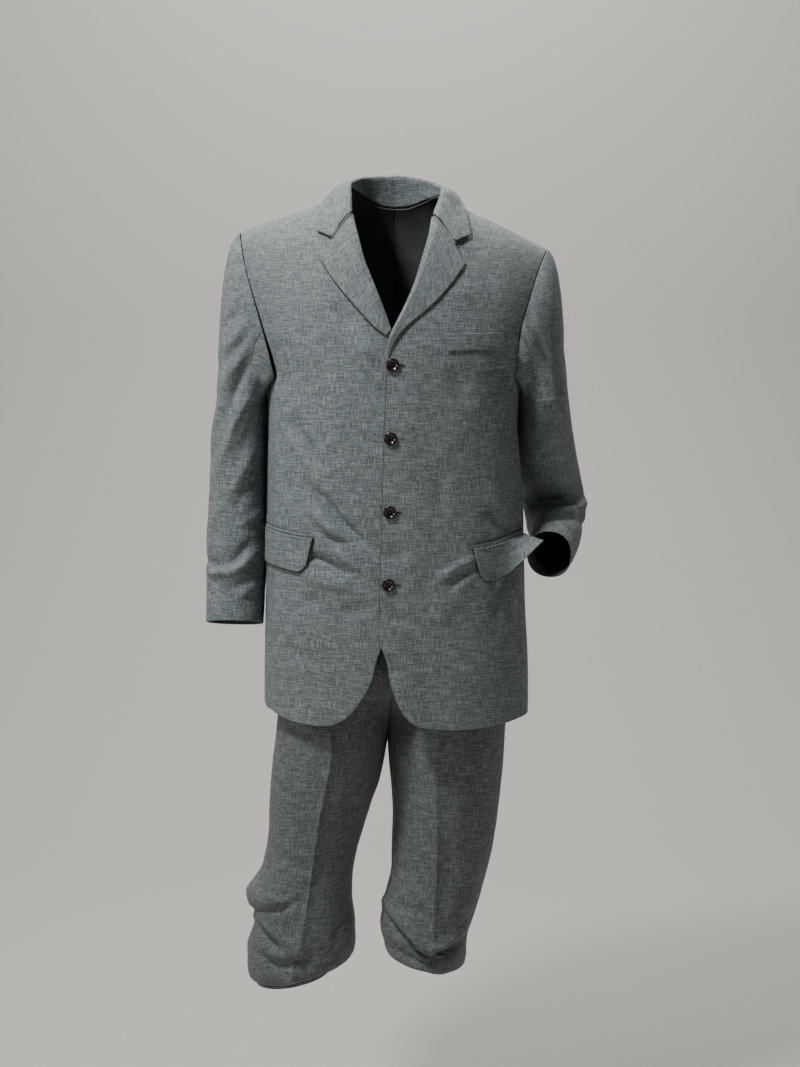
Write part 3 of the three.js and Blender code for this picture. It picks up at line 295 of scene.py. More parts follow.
def stations(k):
    def mk(r, d):
        return dict(c=vec(r["x"], r["y"], r["z"]), dir=d, a=r["a"], f=r["f"], b=r["b"])
    if k == "R":
        out = []
        for i, r in enumerate(SLEEVE_R):
            p, q = SLEEVE_R[max(0, i - 1)], SLEEVE_R[min(len(SLEEVE_R) - 1, i + 1)]
            out.append(mk(r, unit(vec(q["x"] - p["x"], q["y"] - p["y"], q["z"] - p["z"]))))
        return out
    down = unit(vec(0.12, 0.1, -1))
    out = [mk(r, unit(lerp(down, UPPER_DIR, i / 2))) for i, r in enumerate(SLEEVE_L)]
    away = -unit(FORE_DIR - UPPER_DIR * FORE_DIR.dot(UPPER_DIR))
    for row in ELBOW_ROWS:
        q = ELBOW["turn"] * row["t"] * RAD
        n = away * math.cos(q) + UPPER_DIR * math.sin(q)
        d = UPPER_DIR * math.cos(q) - away * math.sin(q)
        c = vec(ELBOW["x"] + row["dx"], ELBOW["y"], ELBOW["z"]) + n * ELBOW["r"]
        out.append(dict(c=c, dir=d, a=row["a"], f=row["f"], b=row["b"]))
    return out + [mk(r, FORE_DIR.copy()) for r in FOREARM_L]


STATIONS = {"R": stations("R"), "L": stations("L")}


def section_point(st, sgn, deg):
    th, n = deg * RAD, 2 / 2.2
    ex = unit(vec(sgn, 0, 0) - st["dir"] * st["dir"][0] * sgn)
    ef = np.cross(st["dir"], ex) * sgn
    s = math.sin(th)
    return st["c"] + ex * (st["a"] * spow(math.cos(th), n)) + ef * ((st["f"] if s > 0 else st["b"]) * spow(s, n))


def sleeve_point(k, sgn, deg, v):
    S = STATIONS[k]
    if v <= 1:
        A, B = armhole(k, sgn, deg), section_point(S[0], sgn, deg)
        c = (1 + math.cos(deg * RAD)) / 2
        A = A + vec(sgn * (0.5 + 1.6 * (1 - c) ** 2), 0, 1.2 * (1 - c) ** 2)
        far = np.linalg.norm(A - B)
        T0 = unit(vec(sgn * (0.8 + 0.2 * c), -0.35 * math.sin(deg * RAD), -0.9 + 0.1 * c)) * far * (1.05 - 0.6 * c)
        T1 = S[0]["dir"] * far * 1.15
        t = v
        t2, t3 = t * t, t * t * t
        return A * (2 * t3 - 3 * t2 + 1) + T0 * (t3 - 2 * t2 + t) + B * (3 * t2 - 2 * t3) + T1 * (t3 - t2)
    i = min(len(S) - 2, int(v - 1))
    t = v - 1 - i
    P = [section_point(S[j], sgn, deg) for j in (max(0, i - 1), i, i + 1, min(len(S) - 1, i + 2))]
    t2, t3 = t * t, t * t * t
    return (P[0] * 0.5 * (-t3 + 2 * t2 - t) + P[1] * 0.5 * (3 * t3 - 5 * t2 + 2)
            + P[2] * 0.5 * (-3 * t3 + 4 * t2 + t) + P[3] * 0.5 * (t3 - t2))


def on_front(k, sgn, X, z, lift):
    e, y = 0.5, front_y(k, X, z)
    dx = (front_y(k, X + e, z) - front_y(k, X - e, z)) / (2 * e)
    dz = (y - front_y(k, X, z - e)) / e
    return vec(sgn * X, y, z) + unit(vec(sgn * dx, -1, dz)) * lift


def lapel_point(k, sgn, t, r):
    z0, z1r = ROLL_Z[k]
    rr = max(r, 0)
    zr = lerp(z0, z1r, t)
    xr = look(OPENING, "z", k, zr) - 1
    xe, ze, g = look(LAPEL[k], "t", "x", t), look(LAPEL[k], "t", "z", t), GORGE[k]
    bend = (rr / g["r"] if rr < g["r"] else (1 - rr) / (1 - g["r"])) * smooth(0.8, 1, t)
    x1, z1, xt = LAPEL[k][5]["x"], LAPEL[k][5]["z"], look(OPENING, "z", k, z1r) - 1
    X = lerp(xr, xe, rr) + bend * (g["x"] - lerp(xt, x1, g["r"]))
    z = lerp(zr, ze, rr) + bend * (g["z"] - lerp(z1r, z1, g["r"]))
    lift = 2.9 + 2.3 * smooth(0, 0.1, rr) - 1.3 * smooth(0.35, 1, rr)
    if r >= 0:
        return on_front(k, sgn, X, z, lift)
    # the roll: the cloth turns round the front's edge to the inside
    a, rad = -r * math.pi, 3.1
    n = unit(on_front(k, sgn, X, z, 1) - on_front(k, sgn, X, z, 0))
    edge = unit(on_front(k, sgn, look(OPENING, "z", k, zr + 6), zr + 6, 0)
                - on_front(k, sgn, look(OPENING, "z", k, zr - 6), zr - 6, 0))
    out = unit(np.cross(n, edge)) * sgn
    p = on_front(k, sgn, X, z, lift)
    return p + out * (rad * 0.85 * math.sin(a)) - n * (rad * (1 - math.cos(a)))


def collar_point(p, q):
    k, sgn, a = ("R", -1, -p) if p < 0 else ("L", 1, p)
    t = clamp(q - 1, 0, 1)
    if a <= 0.6:
        def c(col):
            return look(COLLAR_BACK, "p", col, a)
        low = -8.5 * smooth(0, 0.6, a) if k == "L" else 0
        wide = 5 * smooth(0.1, 0.6, a) if k == "L" else 0
        F = vec(sgn * (c("fx") + wide), c("fy"), c("fz") + low)
        B = vec(sgn * (c("bx") + wide), c("by"), c("bz") + low)
        E = vec(sgn * c("ex"), 0, c("ez") + low)
        E[1] = lerp(back_y(k, c("ex"), min(E[2], look(SHOULDER, "x", k, c("ex")) - 3)) + 5.2, c("ey"),
                    smooth(0.42, 0.6, a))
        q1 = a / 0.6
        n = unit(vec(sgn * math.sin(q1 * 1.15), math.cos(q1 * 1.5), 0.2 + 0.9 * smooth(0.5, 1, q1)))
    else:
        def row(col):
            return look(COLLAR_FRONT[k], "p", col, a)
        blend = 1 - smooth(0.6, 0.7, a)
        zf = row("z")
        xf, xe, ze = look(OPENING, "z", k, zf), row("x"), row("ez")
        nt = COLLAR_NOTCH[k]
        notch = (t / nt["t"] if t < nt["t"] else (1 - t) / (1 - nt["t"])) * smooth(0.84, 1, a)

        def lie(share, lift, dx=0, dz=0):
            X = lerp(xf, xe, share) + dx
            z = min(lerp(zf, ze, share) + dz, look(SHOULDER, "x", k, max(X, 66)) - 2.2)
            return on_front(k, sgn, X, z, lift)
        if q < 1:
            P = lie(0.17 if q == 0 else 0.09 if q < 0.7 else 0.03, row("lift") - 2.1)
        elif q == 1:
            P = lie(0, row("lift"), -1.4)
        else:
            P = lie(t, row("lift") + 2 * smooth(0, 0.12, t) - (row("lift") - 2.2) * smooth(0.3, 1, t), 0,
                    nt["dz"] * notch)
        return P if blend == 0 else lerp(P, collar_point(0.6 * sgn, q), blend)
    e1 = unit(E - F)
    if q <= 0.5:
        return lerp(B, F, q)
    if q < 1:
        return lerp(lerp(B, F, 0.5), F - n * 2.1 + e1 * 2.4, (q - 0.5) / 0.35)
    if q == 1:
        return F
    bulge = 2.6 * smooth(0, 0.12, t) + 2.2 * math.sin(math.pi * t)
    return lerp(F, E, t) + n * (bulge * (1 - smooth(0.75, 1, t)))


def on_ring(k, sgn, s_deg, z, lift):
    s, e = s_deg * RAD, 1e-3
    p = ring_point(k, sgn, s, z)
    n = unit(np.cross(ring_point(k, sgn, s + e, z) - ring_point(k, sgn, s - e, z),
                      ring_point(k, sgn, s, z + 0.5) - ring_point(k, sgn, s, z - 0.5))) * sgn
    if s_deg < SIDE_S:
        p[1] -= fold_lift(k, p[0] * sgn, z)
    return p + n * lift


def flap_point(k, sgn, g, h, lift=GAP + WALL + 0.5):
    F = FLAP[k]
    s = lerp(F["s0"], F["s1"], g) + 3.5 * h * (1 - g)
    top = lerp(F["z0"], F["z1"], smooth(-0.2, 1.1, g))
    drop = FLAP_DROP * (1 - 0.24 * (1 - clamp(g / 0.14, 0, 1)) ** 2)
    lie = on_ring(k, sgn, s, top - drop * h, lift)
    if k == "R":
        return lie
    root, far = on_ring(k, sgn, s, top, lift), smooth(0.2, 1, g)
    end = on_ring(k, sgn, F["s1"], F["z1"], lift)
    return lerp(lie, root + (FLAP_TIP - end) * (h * drop / FLAP_DROP), far ** 1.5)


def jet_point(k, sgn, g, h):
    F = FLAP[k]
    z = lerp(F["z0"], F["z1"], smooth(-0.2, 1.1, g)) + GAP + 0.2
    z += (2.6 * smooth(0.25, 0.9, g) if k == "L" else 0) + (1 - h) * JET
    return on_ring(k, sgn, lerp(F["s0"], F["s1"], g), z, GAP + 1.9)


def rim_z(k, x):
    return RIM[k]["z"] + RIM[k]["slope"] * (x - RIM[k]["x"])


def leg_ring(k, sgn, deg, z):
    T = LEG[k]
    o, i, b = look(T, "z", "o", z), look(T, "z", "i", z), look(T, "z", "b", z)
    th, cx, a = deg * RAD, (o + i) / 2, abs(o - i) / 2
    x = cx + sgn * a * spow(math.cos(th), 2 / 2.15)
    y = -b * spow(math.sin(th), 2 / 2.15)
    off = abs(x - look(T, "z", "c", z))
    crease = (math.exp(-off / 9) * 5 + math.exp(-off / 1.8) * 1.5) * smooth(0, 0.5, abs(math.sin(th)))
    return vec(x, y + (crease if y > 0 else -crease if y < 0 else 0), z)


def band_ring(k, sgn, deg, z, grow=0):
    B, th = BAND[k], deg * RAD
    dx = sgn * (B["a"] + grow) * math.cos(th)
    return vec(B["x"] + dx, B["y"] - (B["b"] + grow) * math.sin(th), z + RIM[k]["slope"] * dx)


def leg_point(k, sgn, front, c, v):
    deg = 180 * (1 - c) if front else 180 + 180 * c
    R0 = leg_ring(k, sgn, deg, -1240)
    low = clamp(rim_z(k, R0[0]) + 26, -1262, -1100)
    if v > 1:
        i = min(len(TURN) - 2, int(v - 1))
        t = v - 1 - i
        h, q = lerp(TURN[i][0], TURN[i + 1][0], t), lerp(TURN[i][1], TURN[i + 1][1], t)
        R, Bq = leg_ring(k, sgn, deg, low), band_ring(k, sgn, deg, BAND[k]["top"] - 8, 1.2)
        return vec(lerp(R[0], Bq[0], q), lerp(R[1], Bq[1], q),
                   lerp(rim_z(k, R[0]), Bq[2], smooth(0.6, 1, q)) + h)
    z = lerp(WAIST["low"] - 2, low, v)
    m = 1 - smooth(FORK_LOW, FORK_TOP, z)
    leg = leg_ring(k, sgn, deg, min(z, -760))
    leg[2] = z
    if m >= 1:
        return leg
    s, zp = (90 * c if front else 180 - 90 * c) * RAD, max(z, -790)
    a, b = look(PELVIS, "z", "a", zp), look(PELVIS, "z", "bf" if front else "bb", zp)
    pelvis = vec(sgn * (0.15 + (a - 0.15) * spow(math.sin(s), 2 / 2.2)), -b * spow(math.cos(s), 2 / 2.2), z)
    return lerp(pelvis, leg, m)


# ------------------------------------------------------------------ grids
def hermite(V, x, X, axis):
    """values V at places x along one axis, read at places X"""
    V, x, X = np.moveaxis(np.asarray(V, float), axis, 0), np.asarray(x, float), np.asarray(X, float)
    n = len(x)
    S = np.empty_like(V)
    shape = (-1,) + (1,) * (V.ndim - 1)
    S[1:-1] = (V[2:] - V[:-2]) / (x[2:] - x[:-2]).reshape(shape)
    S[0], S[-1] = (V[1] - V[0]) / (x[1] - x[0]), (V[-1] - V[-2]) / (x[-1] - x[-2])
    i = np.clip(np.searchsorted(x, X, side="right") - 1, 0, n - 2)
    h = (x[i + 1] - x[i]).reshape(shape)
    t = ((X - x[i]) / (x[i + 1] - x[i])).reshape(shape)
    t2, t3 = t * t, t * t * t
    out = ((2 * t3 - 3 * t2 + 1) * V[i] + (t3 - 2 * t2 + t) * h * S[i]
           + (3 * t2 - 2 * t3) * V[i + 1] + (t3 - t2) * h * S[i + 1])
    return np.moveaxis(out, 0, axis)


EDGE = [0, 0.12, 0.4, 0.9, 1.6]


def spread(length, step, ends=(True, True), fine=()):
    """places from 0 to length: close together at the edges and round the fine spots"""
    p = set(np.linspace(0, length, max(3, int(round(length / step)) + 1)).tolist())
    if ends[0]:
        p = {q for q in p if q >= 2.6 or q == 0} | set(EDGE)
    if ends[1]:
        p = {q for q in p if q <= length - 2.6 or q == length} | {length - e for e in EDGE}
    for at, half, gap in fine:
        p = {q for q in p if abs(q - at) > half} | set(np.arange(at - half, at + half + 0.01, gap).tolist())
    return np.array(sorted(q for q in p if -1e-9 <= q <= length + 1e-9))


def arc(G, axis):
    d = np.linalg.norm(np.diff(G, axis=axis), axis=2)
    d = d.mean(axis=1 - axis)
    return np.concatenate([[0], np.cumsum(d)])


def dense(f, us, vs, step, ends=((True, True), (True, True)), fine_u=(), fine_v=()):
    """outer surface on an even dense grid, from f(u, v) read at us x vs"""
    G = np.array([[f(u, v) for v in vs] for u in us])
    au, av = arc(G, 0), arc(G, 1)
    su = spread(au[-1], step, ends[0], fine_u)
    sv = spread(av[-1], step, ends[1], fine_v)
    D = hermite(hermite(G, au, su, 0), av, sv, 1)
    return D, su, sv


def normals(G, flip, ring=False):
    if ring:
        du = np.roll(G, -1, 0) - np.roll(G, 1, 0)
    else:
        du = np.gradient(G, axis=0)
    dv = np.gradient(G, axis=1)
    n = np.cross(du, dv)
    n /= np.maximum(np.linalg.norm(n, axis=2, keepdims=True), 1e-12)
    return -n if flip else n


# ------------------------------------------------------------------ creases
# Creases are charted in the front view (or the same view from behind): one
# unit is 1/1520 of the distance, x runs right and y down, as seen by the eye.
EYE = vec(7.9, -2400, -380.7)
PITCH = 3.9 * RAD


def chart(G, back=False):
    P = G * vec(-1, -1, 1) if back else G
    d = P - EYE
    depth = d[..., 1] * math.cos(PITCH) - d[..., 2] * math.sin(PITCH)
    up = d[..., 1] * math.sin(PITCH) + d[..., 2] * math.cos(PITCH)
    return np.stack([400 + 1520 * d[..., 0] / depth, 533.5 - 1520 * up / depth], axis=-1)


def crease(Q, rows):
    """rows: x, y, half width left of the run, half width right of it, lift"""
    R = np.array(rows, float)
    if len(R) > 2:
        x = np.arange(len(R))
        R = hermite(R, x, np.linspace(0, len(R) - 1, (len(R) - 1) * 6 + 1), 0)
    flat = Q.reshape(-1, 2)
    best = np.full(len(flat), 1e9)
    out = np.zeros(len(flat))
    for a, b in zip(R[:-1], R[1:]):
        d = b[:2] - a[:2]
        ln = max(np.hypot(*d), 1e-6)
        t = np.clip(((flat - a[:2]) @ d) / (ln * ln), 0, 1)
        off = flat - (a[:2] + t[:, None] * d)
        dist = np.hypot(off[:, 0], off[:, 1])
        side = d[0] * off[:, 1] - d[1] * off[:, 0]
        w = np.where(side < 0, a[2] + (b[2] - a[2]) * t, a[3] + (b[3] - a[3]) * t)
        val = (a[4] + (b[4] - a[4]) * t) * np.exp(-(dist / np.maximum(w, 0.3)) ** 2)
        near = dist < best
        best = np.where(near, dist, best)
        out = np.where(near, val, out)
    return out.reshape(Q.shape[:-1])


# name: list of (view, rows)
F, K = "front", "back"
CREASES = {
    # drag folds from the bust and the pocket towards the lowest button
    "jacket_front_r": [
        (F, [(286, 415, 7, 6, 0), (296, 429, 7, 6, -2.2), (308, 445, 6, 6, -2.8), (316, 460, 6, 6, -2.0), (329, 470, 6, 6, 0)]),
        (F, [(300, 470, 5, 5, 0), (310, 487, 5, 6, -1.6), (324, 501, 5, 6, -3.0), (341, 522, 4.5, 6, -4.2),
             (352, 532, 4.5, 6, -4.0), (364, 545, 5, 5, -2.4), (375, 562, 5, 5, 0)]),
        (F, [(308, 506, 6, 6, 0), (318, 519, 6, 5, 2.2), (331, 530, 6, 5, 2.8), (342, 539, 5, 4, 1.2)]),
        (F, [(322, 535, 3, 3, 0), (331, 538, 3, 3.5, -1.8), (344, 542, 3, 3.5, -1.4), (356, 546, 3, 3, 0)]),
        (F, [(322, 548, 6, 5, 0), (340, 556, 6, 5, 2.2), (356, 567, 6, 5, 2.4), (374, 579, 6, 5, 0.5)]),
        (F, [(303, 553, 4, 4, 0), (313, 557, 4, 4.5, -2.4), (325, 562, 4, 4.5, -3.4), (338, 570, 4, 4.5, -2.6), (354, 577, 4, 4, 0)]),
        (F, [(298, 573, 7, 7, 0), (315, 578, 7, 7, 1.8), (334, 585, 7, 7, 1.6), (352, 588, 7, 7, 0)]),
        (F, [(302, 598, 7, 7, 0), (312, 602, 7, 7, -1.2), (324, 606, 7, 7, 0)]),
        (F, [(336, 618, 8, 8, 0), (352, 612, 8, 8, -1.4), (376, 605, 8, 8, 0)]),
        (F, [(286, 474, 4, 4, 0), (289, 489, 4, 4, -1.3), (292, 504, 4, 4, 0)]),
        (F, [(332, 300, 7, 7, 0), (345, 316, 7, 8, -1.6), (358, 326, 7, 8, 0)]),
        (F, [(350, 338, 8, 8, 0), (366, 350, 8, 8, 1.4), (380, 356, 8, 8, 0)]),
        (F, [(282, 640, 8, 8, 0), (300, 655, 8, 8, -1.0), (330, 662, 8, 8, 0)]),
        (F, [(268, 330, 5, 5, 0), (274, 360, 5, 5, -1.6), (277, 395, 5, 5, 0)]),
    ],
    "jacket_front_l": [
        (F, [(480, 553, 5, 4, 0), (470, 562, 5, 4, 2.0), (455, 568, 5, 4, 2.4), (444, 576, 5, 4, 2.0), (432, 585, 5, 4, 0)]),
        (F, [(479, 566, 5, 6, -1.0), (470, 571, 5, 6, -2.6), (461, 578, 5, 6, -3.0), (453, 587, 6, 6, -2.4), (447, 603, 6, 6, 0)]),
        (F, [(511, 566, 4, 4, -1), (507, 578, 4, 4, -3.0), (502, 590, 4, 4, -3.2), (497, 610, 4, 4, -1.2), (496, 622, 4, 4, 0)]),
        (F, [(520, 574, 4, 4, 0), (515, 588, 4, 4, 2.0), (510, 612, 4, 4, 0)]),
        (F, [(381, 608, 7, 8, -1.2), (401, 619, 7, 8, -2.0), (426, 628, 7, 8, 0)]),
        (F, [(402, 607, 8, 7, 0), (425, 618, 8, 7, 1.6), (452, 628, 8, 7, 0)]),
        (F, [(383, 557, 8, 8, -0.8), (400, 553, 8, 8, -1.6), (417, 544, 8, 8, 0)]),
        (F, [(484, 488, 4, 4, 0), (494, 500, 4, 4, 1.6), (505, 514, 4, 4, 2.0), (521, 528, 4, 4, 0)]),
        (F, [(480, 514, 5, 5, 0), (492, 520, 5, 5, -1.8), (505, 526, 5, 5, -1.6), (515, 533, 5, 5, 0)]),
        (F, [(455, 362, 10, 10, 0), (462, 385, 11, 10, -2.0), (466, 408, 11, 10, 0)]),
        (F, [(441, 462, 7, 9, 0), (442, 490, 7, 9, -1.4), (441, 522, 7, 9, 0)]),
        (F, [(384, 672, 6, 6, 0), (395, 670, 6, 6, -1.1), (408, 670, 6, 6, 0)]),
        (F, [(506, 340, 5, 5, 0), (508, 375, 5, 5, -1.6), (509, 415, 5, 5, 0)]),
        (F, [(440, 300, 9, 9, 0), (462, 292, 9, 9, 1.2), (486, 290, 9, 9, 0)]),
    ],
    # the right arm hangs: long folds run down and outward across the sleeve
    "topsleeve_r": [
        (F, [(243, 308, 4, 4, 0), (238, 313, 4, 4, -1.8), (231, 320, 4, 4, -2.4), (224, 329, 4, 4, -1)]),
        (F, [(252, 318, 4, 4, 0), (244, 328, 4, 4, 1.8), (235, 338, 4, 4, 2.2), (226, 350, 4, 4, 1)]),
        (F, [(250, 335, 4, 4.5, 0), (240, 345, 4, 4.5, -1.8), (231, 354, 4, 4.5, -2.8), (222, 368, 4, 4, -1.4)]),
        (F, [(257, 330, 4, 4, 0), (249, 343, 4, 4, 1.8), (241, 359, 4, 4, 2.6), (232, 372, 4, 4, 2.6), (222, 390, 4, 4, 1)]),
        (F, [(256, 349, 4, 4.5, 0), (250, 362, 4, 4.5, -2.2), (242, 380, 4, 4.5, -3.2), (233, 396, 4, 4.5, -3.0), (222, 424, 4, 4, -0.8)]),
        (F, [(261, 364, 4, 4, 0), (255, 382, 4, 4, 1.6), (246, 401, 4, 4, 2.6), (236, 420, 3.6, 3.6, 3.0), (229, 441, 3.6, 3.6, 3.0),
             (222, 461, 3.6, 3.6, 2.2), (214, 482, 4, 4, 0)]),
        (F, [(262, 392, 5, 5, 0), (256, 412, 5, 5, -1.6), (246, 436, 5, 5, -2.0), (236, 458, 5, 5, -1.0), (228, 478, 5, 5, 0)]),
        (F, [(262, 432, 5, 5, 0), (252, 452, 5, 5, 1.6), (240, 474, 5, 5, 1.4), (230, 494, 5, 5, 0)]),
        (F, [(263, 466, 5, 5, -1), (250, 484, 5, 5, -2.2), (239, 502, 5, 5, -1.6), (230, 518, 5, 5, 0)]),
        (F, [(262, 510, 4, 4, 0.6), (255, 516, 4, 4, 2.2), (244, 522, 4, 4, 1.2), (236, 528, 4, 4, 0)]),
        (F, [(264, 517, 3, 3, -0.6), (256, 526, 3, 3, -1.8), (249, 533, 3, 3, 0)]),
        (F, [(222, 498, 3.6, 3.6, 0), (217, 514, 3.6, 3.6, 1.8), (212, 534, 3.6, 3.6, 1.2), (209, 550, 4, 4, 0)]),
        (F, [(206, 558, 4, 3, -0.4), (214, 564, 4, 3, -2.2), (225, 566, 5, 3, -3.0), (236, 561, 5, 3, -2.4), (245, 549, 5, 4, -1.2), (252, 538, 4, 4, 0)]),
        (F, [(208, 568, 3, 5, 0.4), (216, 572, 3, 5, 2.6), (229, 572, 3, 5, 3.4), (240, 565, 3.5, 5, 3.0), (250, 555, 4, 4, 2.4), (260, 548, 4, 4, 0)]),
        (F, [(207, 572, 3, 3, -1), (213, 580, 3, 3, -2.6), (220, 586, 3, 3, 0)]),
        (F, [(224, 592, 4, 4, 0), (234, 588, 4, 4, -1.6), (246, 582, 4, 4, -2.2), (259, 576, 4, 4, -0.8)]),
        (F, [(236, 599, 3.5, 3.5, 0), (245, 593, 3.5, 3.5, 1.8), (255, 586, 3.5, 3.5, 0.8)]),
        (F, [(242, 603, 4, 4, 0), (250, 597, 4, 4, -1.6), (260, 590, 4, 4, -0.8)]),
        (F, [(232, 240, 2.2, 2.2, 0), (239, 243, 2.2, 2.2, -0.9), (244, 244, 2, 2, 0)]),
        (F, [(232, 262, 2.2, 2.2, 0), (240, 265, 2.2, 2.2, -0.9), (246, 266, 2, 2, 0)]),
        (F, [(234, 282, 2.2, 2.2, 0), (243, 285, 2.2, 2.2, -0.9), (250, 287, 2, 2, 0)]),
        (K, [(548, 360, 5, 5, 0), (556, 390, 5, 5, 2.0), (572, 430, 5, 5, 2.2), (584, 470, 5, 5, 0)]),
        (K, [(546, 400, 5, 5, 0), (560, 432, 5, 5, -2.2), (575, 470, 5, 5, 0)]),
        (K, [(545, 540, 5, 5, 0), (565, 556, 5, 5, -2.4), (588, 560, 5, 5, 0)]),
        (K, [(545, 552, 5, 5, 0), (566, 568, 5, 5, 2.2), (590, 573, 5, 5, 0)]),
    ],
    "undersleeve_r": [
        (K, [(532, 330, 5, 5, 0), (540, 372, 5, 5, -2.0), (556, 430, 5, 5, 0)]),
        (K, [(530, 440, 5, 5, 0), (540, 470, 5, 5, 2.0), (556, 500, 5, 5, 0)]),
        (K, [(530, 530, 5, 5, 0), (542, 548, 5, 5, -2.4), (560, 560, 5, 5, 0)]),
        (K, [(530, 545, 5, 5, 0), (542, 562, 5, 5, 2.2), (562, 574, 5, 5, 0)]),
    ],
    # the left arm is bent: folds fan out of the crook
    "topsleeve_l": [
        (F, [(518, 318, 5, 3, 0), (522, 332, 5, 3, 2.4), (531, 342, 5, 3, 2.8), (541, 357, 5, 3, 2.4), (548, 372, 5, 4, 0)]),
        (F, [(529, 300, 3, 5, 0), (530, 320, 3, 6, -2.4), (538, 338, 3, 6, -2.8), (546, 354, 3, 6, -1.6), (552, 368, 3, 6, 0)]),
        (F, [(537, 268, 3, 3, 0), (547, 284, 3, 3, 1.5), (552, 302, 3, 3, 1.7), (555, 318, 3, 3, 0)]),
        (F, [(521, 350, 3, 3, 0), (526, 368, 3, 3, 1.6), (531, 390, 3, 3, 1.2), (534, 408, 3, 3, 0)]),
        (F, [(546, 360, 3, 3, 0), (552, 374, 3, 3, 1.6), (558, 388, 3, 3, 0.6)]),
        (F, [(536, 384, 5, 5, 0), (546, 410, 5, 5, -1.8), (556, 432, 5, 5, 0)]),
        (F, [(560, 380, 3, 3, -0.8), (558, 392, 3, 3, -2.4), (561, 404, 3, 3, -0.5)]),
        (F, [(530, 425, 4, 4, 0), (545, 430, 4, 4, 1.2), (566, 424, 4, 4, 0)]),
        (F, [(532, 455, 5, 5, 0), (550, 462, 5, 5, -1.8), (574, 456, 5, 5, 0)]),
        (F, [(534, 478, 5, 5, 0), (552, 484, 5, 5, 1.8), (578, 478, 5, 5, 0)]),
        (F, [(528, 528, 4, 3, 0.5), (540, 522, 5, 3, 2.6), (552, 515, 5, 3, 4.0), (564, 513, 5, 3, 4.2), (577, 509, 4, 3, 3.6), (586, 502, 4, 3, 2.0)]),
        (F, [(540, 526, 2.4, 3, 0), (554, 519.5, 2.4, 3, -3.4), (566, 518, 2.4, 3, -4.4), (576, 519, 2.4, 3, -3.6), (584, 526, 2.4, 3, -1.6)]),
        (F, [(534, 500, 6, 5, -1), (548, 500, 6, 5, -3.2), (562, 502, 6, 4, -3.6), (574, 500, 5, 4, -2.4), (582, 494, 4, 4, -0.6)]),
        (F, [(532, 532, 3, 3, 0.5), (544, 526, 3, 3.5, 2.2), (558, 524, 3, 4, 2.4), (572, 528, 3, 4, 1.4), (582, 534, 3, 3, 0)]),
        (F, [(519, 252, 2.2, 2.2, 0), (530, 268, 2.2, 2.2, -0.9), (538, 276, 2, 2, 0)]),
        (K, [(218, 420, 6, 6, 0), (232, 446, 6, 6, -1.8), (250, 462, 6, 6, 0)]),
        (K, [(216, 470, 6, 6, 0), (234, 490, 6, 6, 2.2), (256, 500, 6, 6, 0)]),
        (K, [(222, 330, 6, 6, 0), (234, 360, 6, 6, -1.6), (244, 392, 6, 6, 0)]),
    ],
    "undersleeve_l": [
        (K, [(240, 420, 6, 6, 0), (256, 440, 6, 6, -1.8), (270, 452, 6, 6, 0)]),
        (K, [(244, 470, 6, 6, 0), (258, 482, 6, 6, 1.8), (272, 492, 6, 6, 0)]),
    ],
    # full right leg: a hollow behind the knee bulge, deep slanting folds below it
    "trouser_front_r": [
        (F, [(268, 846, 5, 2.4, 0), (268, 858, 5, 2.4, 2.2), (269.5, 872, 5, 2.4, 3.4), (271, 886, 5, 2.4, 4.0), (274, 897, 5, 2.4, 3.8), (280, 903, 4, 3, 2.6), (288, 905, 4, 3, 0)]),
        (F, [(275, 872, 4, 4, 0), (276, 884, 4, 4, -3.0), (278, 893, 4, 4, -5.0), (283, 895, 4, 4, -3.0), (290, 890, 4, 4, 0)]),
        (F, [(279, 850, 4, 4, 0), (282, 860, 4, 4, -2.4), (287, 866, 4, 4, 0)]),
        (F, [(284, 842, 5, 5, 0), (293, 855, 5, 5, 1.2), (299, 866, 5, 5, 0)]),
        (F, [(246, 880, 6, 6, 0.5), (252, 893, 7, 6, 2.6), (263, 900, 7, 5, 3.2), (276, 903, 5, 4, 2.2), (286, 901, 5, 4, 0)]),
        (F, [(246, 908, 3, 4, -1.8), (257, 911, 3.2, 4, -5.0), (274, 910, 3.5, 4, -5.4), (288, 907, 4, 4, -3.4), (299, 901, 5, 5, -1.6), (308, 894, 5, 5, 0)]),
        (F, [(250, 913, 3, 3.4, 0.5), (258, 918, 3.4, 3.4, 2.8), (269, 929, 4, 4, 3.6), (283, 939, 5, 4, 3.2), (297, 944, 5, 5, 0.6)]),
        (F, [(252, 914, 2, 4, -1), (257, 920, 2.2, 5, -4.6), (263, 929, 2.4, 5, -5.4), (273, 942, 2.6, 5, -5.4), (281, 951, 3, 5, -4.4), (292, 958, 3, 5, -1.4)]),
        (F, [(246, 930, 4, 4, 0), (252, 945, 5, 5, 1.8), (262, 962, 5, 5, 3.2), (270, 975, 5, 5, 1.4)]),
        (F, [(250, 950, 2.4, 2.4, 0), (257, 965, 2.4, 2.4, -1.4), (262, 976, 2.4, 2.4, 0)]),
        (F, [(344, 906, 4, 4, 0), (342, 918, 4, 4, -2.4), (338, 930, 4, 4, -3.2), (334, 946, 4, 4, -1.8), (332, 960, 4, 4, 0)]),
        (F, [(352, 900, 3, 3, 0), (351, 925, 3, 3, 2.0), (352, 950, 3, 3, 0)]),
        (F, [(300, 900, 5, 5, 0), (302, 915, 5, 5, -1.2), (300, 930, 5, 5, 0)]),
        (F, [(310, 730, 7, 7, 0), (300, 760, 7, 7, -1.2), (292, 800, 7, 7, 0)]),
        (F, [(345, 760, 7, 7, 0), (352, 800, 7, 7, -1.5), (350, 840, 7, 7, 0)]),
    ],
    # left leg: the blouse folds over itself under the knee
    "trouser_front_l": [
